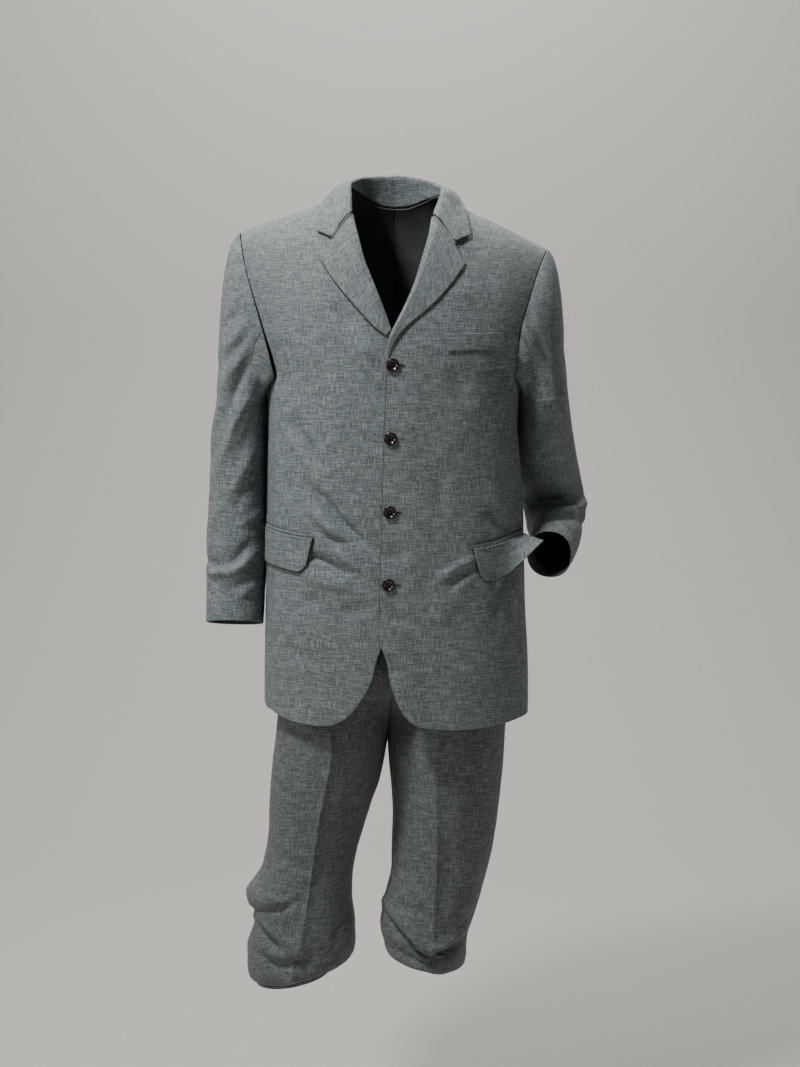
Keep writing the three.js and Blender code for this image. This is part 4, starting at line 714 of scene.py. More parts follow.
        (F, [(380, 893, 4, 4, 0.6), (386, 903, 5, 3, 3.2), (392, 912, 5, 3, 5.4), (405, 929, 5, 3, 5.8), (420, 945, 5, 3, 5.2), (431, 956, 4, 3, 2.0)]),
        (F, [(382, 905, 2.4, 5, 0), (389, 916, 2.4, 5, -4.0), (401, 932, 2.4, 5, -6.2), (417, 949.5, 2.4, 5, -6.0), (430, 963, 2.4, 4, -2.4)]),
        (F, [(384, 905, 6, 5, 0), (396, 905, 6, 5, -1.6), (408, 908, 6, 5, -2.4), (421, 914, 6, 5, -2.4), (428, 926, 6, 4, -1.0)]),
        (F, [(384, 925, 4, 4, 0), (394, 938, 4, 4, 1.6), (404, 950, 4, 4, 2.2), (418, 962, 4, 4, 1.6), (426, 970, 4, 4, 0)]),
        (F, [(391, 936, 2, 2, 0), (402, 951, 2, 2, -1.2), (415, 963, 2, 2, 0)]),
        (F, [(432, 948, 4, 3.4, 1.4), (442, 946, 5, 3.4, 3.4), (452, 941, 5, 3.4, 3.6), (463, 931, 5, 3.4, 2.6), (470, 918, 5, 4, 0)]),
        (F, [(432, 954, 3, 4, -1.4), (443, 952.5, 3, 4.4, -4.2), (456, 947, 3, 4.4, -4.6), (465, 937, 3, 4.4, -3.0), (472, 922, 4, 4.4, -0.6)]),
        (F, [(431, 950, 2, 2, 0), (431, 957, 2, 2, -2.2), (431.5, 966, 2, 2, 0)]),
        (F, [(414, 895, 7, 7, 0), (410, 878, 7, 7, -1.2), (404, 858, 7, 7, 0)]),
        (F, [(448, 880, 6, 6, 0), (453, 905, 6, 6, 1.6), (452, 925, 6, 6, 0)]),
        (F, [(470, 780, 6, 6, 0), (468, 830, 6, 6, -1.4), (462, 870, 6, 6, 0)]),
        (F, [(405, 760, 6, 6, 0), (400, 800, 6, 6, -1.2), (398, 840, 6, 6, 0)]),
    ],
    "trouser_back_r": [
        (K, [(470, 900, 8, 6, 0), (486, 912, 8, 6, 3.4), (506, 918, 8, 6, 3.6), (530, 914, 8, 6, 1.0)]),
        (K, [(466, 914, 5, 6, 0), (486, 924, 5, 6, -4.6), (508, 929, 5, 6, -4.8), (532, 924, 5, 6, -1)]),
        (K, [(474, 944, 6, 6, 0), (492, 952, 6, 6, 2.8), (514, 952, 6, 6, 0)]),
        (K, [(455, 800, 9, 9, 0), (470, 850, 9, 9, -2.4), (480, 890, 9, 9, 0)]),
        (K, [(500, 790, 9, 9, 0), (505, 850, 9, 9, 2.0), (520, 890, 9, 9, 0)]),
    ],
    "trouser_back_l": [
        (K, [(330, 898, 7, 5, 0), (352, 912, 7, 5, 3.6), (376, 914, 7, 5, 3.6), (402, 904, 7, 5, 0)]),
        (K, [(330, 910, 5, 6, 0), (352, 923, 5, 6, -4.6), (378, 925, 5, 6, -4.6), (404, 915, 5, 6, 0)]),
        (K, [(344, 940, 6, 6, 0), (364, 947, 6, 6, 2.6), (388, 942, 6, 6, 0)]),
        (K, [(350, 790, 9, 9, 0), (346, 850, 9, 9, -2.4), (352, 885, 9, 9, 0)]),
    ],
    "jacket_back_r": [
        (K, [(420, 300, 12, 12, 0), (460, 330, 12, 12, -2.0), (505, 345, 12, 12, 0)]),
        (K, [(410, 470, 10, 10, 0), (450, 482, 10, 10, -2.6), (500, 476, 10, 10, 0)]),
        (K, [(412, 496, 10, 10, 0), (452, 508, 10, 10, 2.2), (502, 502, 10, 10, 0)]),
        (K, [(470, 560, 9, 9, 0), (478, 610, 9, 9, -2.2), (474, 680, 9, 9, 0)]),
    ],
    "jacket_back_l": [
        (K, [(385, 296, 12, 12, 0), (345, 328, 12, 12, -2.2), (300, 346, 12, 12, 0)]),
        (K, [(390, 474, 10, 10, 0), (345, 480, 10, 10, -2.4), (298, 470, 10, 10, 0)]),
        (K, [(390, 500, 10, 10, 0), (342, 508, 10, 10, 2.2), (300, 500, 10, 10, 0)]),
        (K, [(330, 570, 9, 9, 0), (318, 620, 9, 9, -2.4), (322, 690, 9, 9, 0)]),
    ],
}


DEPTH = {"jacket_front_r": 2.7, "jacket_front_l": 1.9, "jacket_side_r": 2.7, "jacket_side_l": 1.8,
         "topsleeve_r": 1.4, "topsleeve_l": 1.4, "undersleeve_r": 1.4, "undersleeve_l": 1.4,
         "trouser_front_r": 1.5, "trouser_front_l": 1.5, "trouser_back_r": 1.5, "trouser_back_l": 1.5}
# pieces that meet at a seam share their folds, so the seam stays closed
for _k in "rl":
    for _a, _b in (("topsleeve_", "undersleeve_"), ("trouser_front_", "trouser_back_")):
        both = CREASES[_a + _k] + CREASES[_b + _k]
        CREASES[_a + _k], CREASES[_b + _k] = both, both
    CREASES["jacket_side_" + _k] = CREASES["jacket_front_" + _k]


def lift_of(name, G):
    out = np.zeros(G.shape[:2])
    for view, rows in CREASES.get(name, []):
        out += crease(chart(G, view == "back"), rows)
    out *= DEPTH.get(name, 1.2)
    if name.startswith("trouser"):      # the thighs press against each other
        z = G[..., 2]
        out += 1.0 * np.exp(-((G[..., 0] + 11.3) / 5) ** 2) * np.clip((z + 935) / 45, 0, 1) * np.clip((-730 - z) / 30, 0, 1)
    return out


def ripple(G, amount):
    """a slow unevenness of the whole cloth"""
    x, y, z = G[..., 0], G[..., 1], G[..., 2]
    r = (np.sin(x * 0.031 + z * 0.017 + 1.3) * np.sin(z * 0.023 - y * 0.019 + 0.4)
         + 0.6 * np.sin(x * 0.067 - z * 0.029 + y * 0.04 + 2.1)
         + 0.35 * np.sin(x * 0.11 + z * 0.083 + 0.7) * np.sin(y * 0.09 + z * 0.05))
    return r * amount


# ------------------------------------------------------------------ materials
def nodes(name):
    m = bpy.data.materials.new(name)
    m.use_nodes = True
    t = m.node_tree
    return m, t, t.nodes["Principled BSDF"]


def N(t, kind, **kw):
    n = t.nodes.new(kind)
    for k, v in kw.items():
        if k.startswith("i_"):
            n.inputs[k[2:]].default_value = v
        elif k.startswith("n_"):
            n.inputs[int(k[2:])].default_value = v
        else:
            setattr(n, k, v)
    return n


def math_node(t, op, a, b=None, c=None, clamp_it=False):
    n = t.nodes.new("ShaderNodeMath")
    n.operation = op
    n.use_clamp = clamp_it
    for i, s in enumerate((a, b, c)):
        if s is None:
            continue
        if hasattr(s, "is_linked") or hasattr(s, "links"):
            t.links.new(s, n.inputs[i])
        else:
            n.inputs[i].default_value = s
    return n.outputs[0]


def ramp(t, fac, *stops):
    n = t.nodes.new("ShaderNodeValToRGB")
    e = n.color_ramp.elements
    while len(e) < len(stops):
        e.new(0.5)
    for s, el in zip(stops, e):
        el.position = s[0]
        el.color = (s[1], s[1], s[1], 1) if not isinstance(s[1], tuple) else s[1]
    t.links.new(fac, n.inputs[0])
    return n.outputs[0]


def suiting(name, base, light, dark):
    """end-on-end worsted: crossed fine yarns of two tones with short paler slubs both ways"""
    m, t, b = nodes(name)
    uv = N(t, "ShaderNodeUVMap", uv_map="cloth")
    sep = N(t, "ShaderNodeSeparateXYZ")
    t.links.new(uv.outputs[0], sep.inputs[0])
    U, V = sep.outputs[0], sep.outputs[1]

    def streaks(su, sv, seed, detail=1.0):
        comb = N(t, "ShaderNodeCombineXYZ")
        t.links.new(math_node(t, "MULTIPLY", U, su), comb.inputs[0])
        t.links.new(math_node(t, "MULTIPLY", V, sv), comb.inputs[1])
        comb.inputs[2].default_value = seed
        n = N(t, "ShaderNodeTexNoise", i_Scale=1.0, i_Detail=detail, i_Roughness=0.5)
        t.links.new(comb.outputs[0], n.inputs["Vector"])
        return n.outputs["Fac"]
    warp = streaks(1150, 55, 3.1, 0.0)
    weft = streaks(55, 1150, 8.7, 0.0)
    warp2 = streaks(1900, 260, 21.0, 0.0)
    weft2 = streaks(260, 1900, 33.0, 0.0)
    cloud = streaks(9, 6, 15.5, 2.0)
    # crossed yarns, 0.55 mm apart
    yarn = math_node(t, "MULTIPLY", math_node(t, "SINE", math_node(t, "MULTIPLY", U, 2 * math.pi / 0.0011)),
                     math_node(t, "SINE", math_node(t, "MULTIPLY", V, 2 * math.pi / 0.0011)))
    slub = math_node(t, "ADD", ramp(t, warp, (0.40, 0.0), (0.80, 1.0)), ramp(t, weft, (0.40, 0.0), (0.80, 1.0)))
    fine = math_node(t, "ADD", warp2, weft2)
    tone = math_node(t, "MULTIPLY_ADD", slub, 0.48, math_node(t, "MULTIPLY_ADD", yarn, 0.10, -0.08))
    tone = math_node(t, "ADD", tone, math_node(t, "MULTIPLY_ADD", fine, 0.80, -0.68))
    tone = math_node(t, "ADD", tone, math_node(t, "MULTIPLY_ADD", cloud, 0.10, 0.20), clamp_it=True)
    col = ramp(t, tone, (0.0, dark + (1,)), (0.38, base + (1,)), (1.0, light + (1,)))
    t.links.new(col, b.inputs["Base Color"])
    b.inputs["Roughness"].default_value = 0.72
    b.inputs["Specular IOR Level"].default_value = 0.32
    b.inputs["Sheen Weight"].default_value = 0.05
    b.inputs["Sheen Roughness"].default_value = 0.45
    b.inputs["Sheen Tint"].default_value = (0.85, 0.93, 1.0, 1)
    bump = N(t, "ShaderNodeBump", i_Strength=0.35, i_Distance=0.0004)
    t.links.new(math_node(t, "ADD", math_node(t, "MULTIPLY", yarn, 0.35), slub), bump.inputs["Height"])
    t.links.new(bump.outputs[0], b.inputs["Normal"])
    return m


def lining(name, base):
    """plain smooth lining with a fine slanting twill"""
    m, t, b = nodes(name)
    uv = N(t, "ShaderNodeUVMap", uv_map="cloth")
    sep = N(t, "ShaderNodeSeparateXYZ")
    t.links.new(uv.outputs[0], sep.inputs[0])
    d = math_node(t, "ADD", sep.outputs[0], sep.outputs[1])
    twill = math_node(t, "SINE", math_node(t, "MULTIPLY", d, 2 * math.pi / 0.0009))
    n = N(t, "ShaderNodeTexNoise", i_Scale=40.0, i_Detail=2.0)
    t.links.new(uv.outputs[0], n.inputs["Vector"])
    tone = math_node(t, "MULTIPLY_ADD", twill, 0.12, n.outputs["Fac"])
    t.links.new(ramp(t, tone, (0.2, tuple(c * 0.8 for c in base) + (1,)), (0.8, tuple(c * 1.25 for c in base) + (1,))),
                b.inputs["Base Color"])
    b.inputs["Roughness"].default_value = 0.48
    b.inputs["Specular IOR Level"].default_value = 0.4
    bump = N(t, "ShaderNodeBump", i_Strength=0.25, i_Distance=0.0002)
    t.links.new(twill, bump.inputs["Height"])
    t.links.new(bump.outputs[0], b.inputs["Normal"])
    return m


def horn(name):
    m, t, b = nodes(name)
    tc = N(t, "ShaderNodeTexCoord")
    n = N(t, "ShaderNodeTexNoise", i_Scale=120.0, i_Detail=4.0, i_Roughness=0.6)
    t.links.new(tc.outputs["Object"], n.inputs["Vector"])
    t.links.new(ramp(t, n.outputs["Fac"], (0.3, (0.008, 0.003, 0.003, 1)), (0.6, (0.022, 0.006, 0.006, 1)),
                     (0.8, (0.055, 0.016, 0.012, 1))), b.inputs["Base Color"])
    t.links.new(ramp(t, n.outputs["Fac"], (0.2, 0.16), (0.8, 0.30)), b.inputs["Roughness"])
    b.inputs["Coat Weight"].default_value = 0.5
    b.inputs["Coat Roughness"].default_value = 0.08
    return m


def thread(name, col):
    m, t, b = nodes(name)
    tc = N(t, "ShaderNodeTexCoord")
    n = N(t, "ShaderNodeTexNoise", i_Scale=1800.0, i_Detail=2.0)
    t.links.new(tc.outputs["Object"], n.inputs["Vector"])
    t.links.new(ramp(t, n.outputs["Fac"], (0.3, tuple(c * 0.6 for c in col) + (1,)), (0.7, tuple(c * 1.3 for c in col) + (1,))),
                b.inputs["Base Color"])
    b.inputs["Roughness"].default_value = 0.6
    bump = N(t, "ShaderNodeBump", i_Strength=0.6, i_Distance=0.0003)
    t.links.new(n.outputs["Fac"], bump.inputs["Height"])
    t.links.new(bump.outputs[0], b.inputs["Normal"])
    return m


SUITING = suiting("suiting", (0.108, 0.128, 0.135), (0.315, 0.357, 0.371), (0.040, 0.048, 0.052))
# painted shade: the same suiting a little darker, for the side panels, undersleeves and pocket jets
SUITING_SHADED = suiting("suiting_painted_shade", (0.103, 0.122, 0.129), (0.300, 0.340, 0.354), (0.038, 0.046, 0.050))
# painted shade: the same suiting darker for the legs, which hang lower and further from the key light; the copy for
# the leg backs, knee bands and waistband is darker still
TROUSERS_SHADED = suiting("suiting_legs_painted_shade", (0.078, 0.090, 0.092), (0.226, 0.252, 0.256), (0.029, 0.034, 0.036))
TROUSERS_SHADED_MORE = suiting("suiting_legs_deeper_painted_shade", (0.073, 0.084, 0.086), (0.214, 0.238, 0.243), (0.027, 0.032, 0.034))
# very dark: thread for the pocket seams and flap stitches, and painted shadow for the lines under the right lapel's
# edge and round the flaps
EDGE_SHADOW_AND_SEAM_THREAD = thread("thread_dark_seam_and_edge_shadow", (0.030, 0.035, 0.038))
SEAM_THREAD = thread("thread_inner", (0.080, 0.092, 0.098))
GORGE_THREAD = thread("thread_seam", (0.200, 0.228, 0.238))
LINING = lining("lining", (0.095, 0.104, 0.112))
HORN = horn("horn_button")
# dark thread for the buttons; also painted shade in the buttonhole cuts
BUTTON_THREAD_AND_SLIT_SHADE = thread("thread_dark_and_slit_shade", (0.020, 0.012, 0.012))
# grey thread for the darts and buttonholes; also painted shadow for the dark line along the lapping front's edge
GREY_THREAD_AND_EDGE_SHADOW = thread("thread_grey_and_edge_shadow", (0.085, 0.095, 0.10))


# ------------------------------------------------------------------ shells
def mesh_object(name, verts, faces, uvs=None, mats=(), mat_index=None):
    me = bpy.data.meshes.new(name)
    me.from_pydata([tuple(v) for v in (np.asarray(verts) / 1000.0)], [], faces)
    if uvs is not None:
        layer = me.uv_layers.new(name="cloth")
        loops = np.empty(len(me.loops), dtype=np.int32)
        me.loops.foreach_get("vertex_index", loops)
        layer.data.foreach_set("uv", np.asarray(uvs)[loops].astype(np.float32).ravel())
    for m in mats:
        me.materials.append(m)
    if mat_index is not None:
        me.polygons.foreach_set("material_index", np.asarray(mat_index, dtype=np.int32))
    me.polygons.foreach_set("use_smooth", np.ones(len(me.polygons), dtype=bool))
    me.update()
    o = bpy.data.objects.new(name, me)
    bpy.context.collection.objects.link(o)
    return o


def edge_round(s, t, ends, rad=None):
    """share of the half thickness by distance from the edges"""
    r = rad or t * 0.62
    h = np.ones(len(s))
    for on, d in ((ends[0], s), (ends[1], s[-1] - s)):
        if on:
            q = np.clip(1 - d / r, 0, 1)
            h = np.minimum(h, np.sqrt(np.maximum(0, 1 - q * q)))
    return h


SHEETS = {}
PIECES = {}


RING_X = np.linspace(0, 0.9999, 400)
RING_S = np.concatenate([[0], np.cumsum(np.hypot(np.diff(RING_X) * 200, np.diff(149 * (1 - RING_X ** SQUARE) ** (1 / SQUARE))))])


def body_uv(G, front):
    """distances round the body and up it, level below the underarm"""
    z = G[..., 2]
    climb = np.concatenate([np.zeros((len(z), 1)), np.cumsum(np.linalg.norm(np.diff(G, axis=1), axis=2), axis=1)], axis=1)
    first = np.argmax(z > CHEST_Z, axis=1)
    base = np.take_along_axis(climb, first[:, None], 1)
    v = np.where(z > CHEST_Z, CHEST_Z + climb - base, z)
    if front:
        far = np.abs(G[..., 0])
        u = np.sign(G[..., 0]) * (np.interp(far, RING_X[:380] * 200, RING_S[:380]) + 1.7 * np.maximum(0, far - RING_X[379] * 200))
    else:
        u = np.concatenate([np.zeros((1, z.shape[1])), np.cumsum(np.linalg.norm(np.diff(G, axis=0), axis=2), axis=0)])
        u = u[:, first.max() // 2][:, None] + np.zeros_like(z)
    return u, v


SEAM_LINES = {}


def shell(name, node, G, su, sv, t, flip, mat, inner=None, rip=0.0, rest=(), held="hung", body=None,
          inner_pick=None, uv_off=(0, 0), uv_turn=0.0, extra_lift=None, ring=False):
    n = normals(G, flip)
    G = G + n * (lift_of(node, G) + ripple(G, rip) + (0 if extra_lift is None else extra_lift))[..., None]
    n = normals(G, flip)
    hu, hv = edge_round(su, t, (True, True)), edge_round(sv, t, (True, True))
    h = np.minimum.outer(hu, np.ones_like(hv))
    h = np.minimum(h, hv[None, :]) * (t / 2)
    M = G - n * (t / 2)
    outer, inn = M + n * h[..., None], M - n * h[..., None]
    nu, nv = G.shape[:2]
    idx_o = np.arange(nu * nv).reshape(nu, nv)
    idx_i = idx_o + nu * nv
    border = np.zeros((nu, nv), bool)
    border[0], border[-1], border[:, 0], border[:, -1] = True, True, True, True
    idx_i = np.where(border, idx_o, idx_i)
    V = np.concatenate([outer.reshape(-1, 3), inn.reshape(-1, 3)])
    if name.startswith(("topsleeve", "breeches_front", "side_")):
        SEAM_LINES[name] = [M[0] - n[0] * 0.2, M[-1] - n[-1] * 0.2]
    used = np.ones(len(V), bool)
    used[nu * nv:][border.ravel()] = False
    remap = np.cumsum(used) - 1
    # distances along the cloth for the weave
    du = np.concatenate([np.zeros((1, nv)), np.cumsum(np.linalg.norm(np.diff(G, axis=0), axis=2), axis=0)])
    dv = np.concatenate([np.zeros((nu, 1)), np.cumsum(np.linalg.norm(np.diff(G, axis=1), axis=2), axis=1)], axis=1)
    du -= du[nu // 2][None, :]
    dv -= dv[:, nv // 2][:, None]
    if body:
        du, dv = body_uv(G, body == "front")
    uv = np.stack([du, dv], -1).reshape(-1, 2) / 1000.0
    c, s = math.cos(uv_turn * RAD), math.sin(uv_turn * RAD)
    uv = uv @ np.array([[c, -s], [s, c]]) + np.array(uv_off)
    uv = np.concatenate([uv, uv])[used]
    a, b, cc, d = (X.ravel() for X in (idx_o[:-1, :-1], idx_o[1:, :-1], idx_o[1:, 1:], idx_o[:-1, 1:]))
    ai, bi, ci, di = (X.ravel() for X in (idx_i[:-1, :-1], idx_i[1:, :-1], idx_i[1:, 1:], idx_i[:-1, 1:]))
    Fo = np.stack([a, d, cc, b] if flip else [a, b, cc, d], -1)
    Fi = np.stack([ai, bi, ci, di] if flip else [ai, di, ci, bi], -1)
    faces = remap[np.concatenate([Fo, Fi])]
    mats = [mat] + ([inner] if inner else [])
    mi = np.zeros(len(faces), np.int32)
    if inner:
        pick = np.ones((nu - 1, nv - 1), bool) if inner_pick is None else inner_pick(su, sv)
        mi[len(Fo):] = pick.ravel().astype(np.int32)
    o = mesh_object("cloth_" + name, V[used], [tuple(f) for f in faces.tolist()], uv, mats, mi)
    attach(o, "root")
    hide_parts(node)
    area = 0.0
    p = G
    area = (np.linalg.norm(np.cross(p[1:, 1:] - p[:-1, :-1], p[:-1, 1:] - p[1:, :-1]), axis=2).sum() / 2) / 1e6
    w, l = (su[-1] / 1000, sv[-1] / 1000)
    SHEETS[name] = (o, w, l, area, held, rest)
    PIECES[name] = o
    return o


def ring_shell(name, node, rings, t, mat, inner, rest, held="folded"):
    """a band: rings of points from its low to its top edge, closed round"""
    G = np.array(rings)                     # (n around, n up, 3)
    n = normals(G, False, ring=True)
    mid = G.mean(axis=(0, 1))
    if ((G - mid) * n).sum() < 0:
        n = -n
    sv = np.concatenate([[0], np.cumsum(np.linalg.norm(np.diff(G[0], axis=0), axis=1))])
    h = edge_round(sv, t, (True, True)) * (t / 2)
    M = G - n * (t / 2)
    outer, inn = M + n * h[None, :, None], M - n * h[None, :, None]
    nu, nv = G.shape[:2]
    idx_o = np.arange(nu * nv).reshape(nu, nv)
    idx_i = idx_o + nu * nv
    idx_i[:, 0], idx_i[:, -1] = idx_o[:, 0], idx_o[:, -1]
    V = np.concatenate([outer.reshape(-1, 3), inn.reshape(-1, 3)])
    used = np.ones(len(V), bool)
    b = np.zeros((nu, nv), bool)
    b[:, 0] = b[:, -1] = True
    used[nu * nv:][b.ravel()] = False
    remap = np.cumsum(used) - 1
    step = np.linalg.norm(np.roll(G, -1, 0) - G, axis=2)[:, :1]
    du = np.concatenate([[[0]], np.cumsum(step, axis=0)[:-1]]) + np.zeros((1, nv))
    uv = np.stack([du, np.broadcast_to(sv, (nu, nv))], -1).reshape(-1, 2) / 1000.0
    uv = np.concatenate([uv, uv])[used]
    faces, mi = [], []
    test = None
    for i in range(nu):
        j2 = (i + 1) % nu
        for j in range(nv - 1):
            q = [idx_o[i, j], idx_o[j2, j], idx_o[j2, j + 1], idx_o[i, j + 1]]
            if test is None:
                p = G.reshape(-1, 3)
                c = np.cross(p[q[1]] - p[q[0]], p[q[3]] - p[q[0]])
                test = (c * n[i, j]).sum() > 0
            r = [idx_i[i, j], idx_i[i, j + 1], idx_i[j2, j + 1], idx_i[j2, j]]
            if not test:
                q, r = q[::-1], r[::-1]
            faces.append(tuple(int(remap[a]) for a in q))
            mi.append(0)
            faces.append(tuple(int(remap[a]) for a in r))
            mi.append(1 if inner else 0)
    o = mesh_object("cloth_" + name, V[used], faces, uv, [mat] + ([inner] if inner else []), mi)
    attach(o, "root")
    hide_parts(node)
    around = float(np.linalg.norm(np.roll(G, -1, 0) - G, axis=2).mean(axis=1).sum()) / 1000
    SHEETS[name] = (o, around, sv[-1] / 1000, around * sv[-1] / 1000, held, rest)
    PIECES[name] = o
    return o


def lin(a, b, n):
    return np.linspace(a, b, n + 1)


# ------------------------------------------------------------------ jacket
BODY_V = lin(0, 1, 30)
ARCH_V = np.concatenate([BODY_V, 1 + lin(0, 0.97, 20)[1:], [1.985, 1.994, 1.9996]])
for k, sgn in SIDES:
    low, flip = k.lower(), sgn < 0
    ease = 1 - (1 - lin(0, 1, 30)) ** 1.25
    G, su, sv = dense(lambda u, v: front_point(k, sgn, u, v), ease, ARCH_V, 3.4)
    facing = (lambda su, sv: np.broadcast_to(((su[:-1] > 75) & (su[:-1] < su[-1] - 3))[:, None],
                                             (len(su) - 1, len(sv) - 1)))
    shell(f"front_{low}", f"jacket_front_{low}", G, su, sv, WALL, flip, SUITING, LINING, rip=0.5, body="front",
          inner_pick=facing, uv_off=(0.13 * sgn, 0.02), rest=(f"jacket_back_{low}",))
    G, su, sv = dense(lambda s, v: side_point(k, sgn, s, v), lin(SIDE_S, BACK_S, 12), BODY_V, 4.6)
    shell(f"side_{low}", f"jacket_side_{low}", G, su, sv, WALL, flip, SUITING_SHADED, LINING,
          rip=0.3, body="round", uv_off=(0.4 * sgn, 0.07), rest=(f"jacket_front_{low}", f"jacket_back_{low}"))
    G, su, sv = dense(lambda u, v: back_point(k, sgn, 1 - u, v), lin(0, 1, 24), ARCH_V, 5.2)
    shell(f"back_{low}", f"jacket_back_{low}", G, su, sv, WALL, flip, SUITING, LINING, rip=0.5, body="round",
          uv_off=(0.71 * sgn, 0.11), rest=(f"jacket_front_{low}",))

# sleeves
for k, sgn in SIDES:
    low, last = k.lower(), len(STATIONS[k])
    rows = np.concatenate([[0.004, 0.03, 0.06], lin(0.1, 1, 16), lin(1, last, 44 if k == "L" else 30)[1:]])
    f = (lambda deg, v: sleeve_point(k, sgn, deg, v))
    G, su, sv = dense(f, lin(SLEEVE_BACK_SEAM, SLEEVE_FRONT_SEAM, 34), rows, 2.8)
    shell(f"topsleeve_{low}", f"topsleeve_{low}", G, su, sv, WALL, sgn < 0, SUITING, LINING, rip=0.4, extra_lift=WALL,
          uv_off=(1.1 * sgn, 0.2), rest=(f"jacket_front_{low}", f"jacket_back_{low}"))
    G, su, sv = dense(f, lin(SLEEVE_FRONT_SEAM, 360 + SLEEVE_BACK_SEAM, 28), rows, 4.4)
    shell(f"undersleeve_{low}", f"undersleeve_{low}", G, su, sv, WALL, sgn < 0, SUITING_SHADED, LINING, extra_lift=WALL,
          rip=0.4, uv_off=(1.5 * sgn, 0.3), rest=(f"topsleeve_{low}",))

# lapels and collar
for k, sgn in SIDES:
    low = k.lower()
    G, su, sv = dense(lambda t, r: lapel_point(k, sgn, t, r), lin(0, 1.0, 25),
                      np.concatenate([lin(-0.85, 0, 7), [0.02, 0.05, 0.1, 0.2, 0.35, 0.5, GORGE[k]["r"], 0.72, 0.82, 0.92, 1]]), 2.2)
    shell(f"lapel_{low}", f"lapel_{low}", G, su, sv, 1.9, sgn > 0, SUITING, rip=0.0, uv_off=(0.05, 0.9 * sgn),
          uv_turn=90 + 18 * sgn, rest=(f"jacket_front_{low}",), held="folded")
around = np.concatenate([lin(-1, -0.6, 18), lin(-0.6, 0, 16)[1:]])
around = np.concatenate([around, -around[::-1][1:]])
G = np.array([[collar_point(p, q) for q in COLLAR_ROWS] for p in around])
G = hermite(G, COLLAR_ROWS, np.array([0, 0.25, 0.5, 0.7, 0.85, 0.93, 1, 1.06, 1.12, 1.22, 1.32, 1.42, 1.53, 1.65, 1.77, 1.89, 2]), 1)
au, av = arc(G, 0), arc(G, 1)
su, sv = spread(au[-1], 2.6), spread(av[-1], 2.2)
G = hermite(hermite(G, au, su, 0), av, sv, 1)
shell("collar", "collar", G, su, sv, 1.9, True, SUITING, rip=0.0, uv_off=(0.3, 1.7), uv_turn=4,
      rest=("jacket_back_r", "jacket_back_l"), held="folded")

# pockets
G, su, sv = dense(lambda u, v: on_front("L", 1, lerp(WELT["x0"] + 5 * (1 - v), WELT["x1"], u),
                                        lerp(WELT["z0"], WELT["z1"], v) + WELT["slope"] * (
                                            lerp(WELT["x0"] + 5 * (1 - v), WELT["x1"], u) - WELT["x0"]),
                                        GAP + WELT_T + 0.2), lin(0, 1, 10), lin(0, 1, 4), 1.8)
shell("breast_welt", "breast_welt", G, su, sv, WELT_T - 0.2, False, SUITING, uv_off=(2.1, 0.5),
      rest=("jacket_front_l",), held="folded")
for k, sgn in SIDES:
    low = k.lower()
    G, su, sv = dense(lambda g, h: flap_point(k, sgn, g, h), np.concatenate([[0, 0.02, 0.05, 0.09, 0.14], lin(0.14, 1, 20)[1:]]),
                      lin(0, 1, 12), 1.9)
    shell(f"pocket_flap_{low}", f"pocket_flap_{low}", G, su, sv, WALL, sgn > 0, SUITING, LINING, extra_lift=WALL,
          uv_off=(2.5 * sgn, 0.1), rest=(f"jacket_front_{low}",), held="hung")
    G, su, sv = dense(lambda g, h: jet_point(k, sgn, g, h), lin(0, 1, 20), lin(0, 1, 3), 1.4)
    shell(f"pocket_jet_{low}", f"pocket_jet_{low}", G, su, sv, 1.5, sgn > 0, SUITING_SHADED, extra_lift=1.5,
          uv_off=(2.9 * sgn, 0.1), rest=(f"jacket_front_{low}",), held="folded")

# ------------------------------------------------------------------ breeches
def crease_share(k, sgn, front, v):
    """share from inseam to side seam at which the pressed crease lies"""
    z = lerp(WAIST["low"] - 2, clamp(rim_z(k, look(LEG[k], "z", "c", -1240)) + 26, -1262, -1100), min(v, 1))
    T, zz = LEG[k], min(z, -760)
    o, i, x = look(T, "z", "o", zz), look(T, "z", "i", zz), look(T, "z", "c", zz)
    q = clamp(sgn * (x - (o + i) / 2) / (abs(o - i) / 2), -0.95, 0.95)
    th = math.acos(spow(q, 2.15 / 2)) / RAD
    return 1 - th / 180


def on_crease(c, m):
    return lerp(0, m, c / 0.5) if c < 0.5 else lerp(m, 1, (c - 0.5) / 0.5)


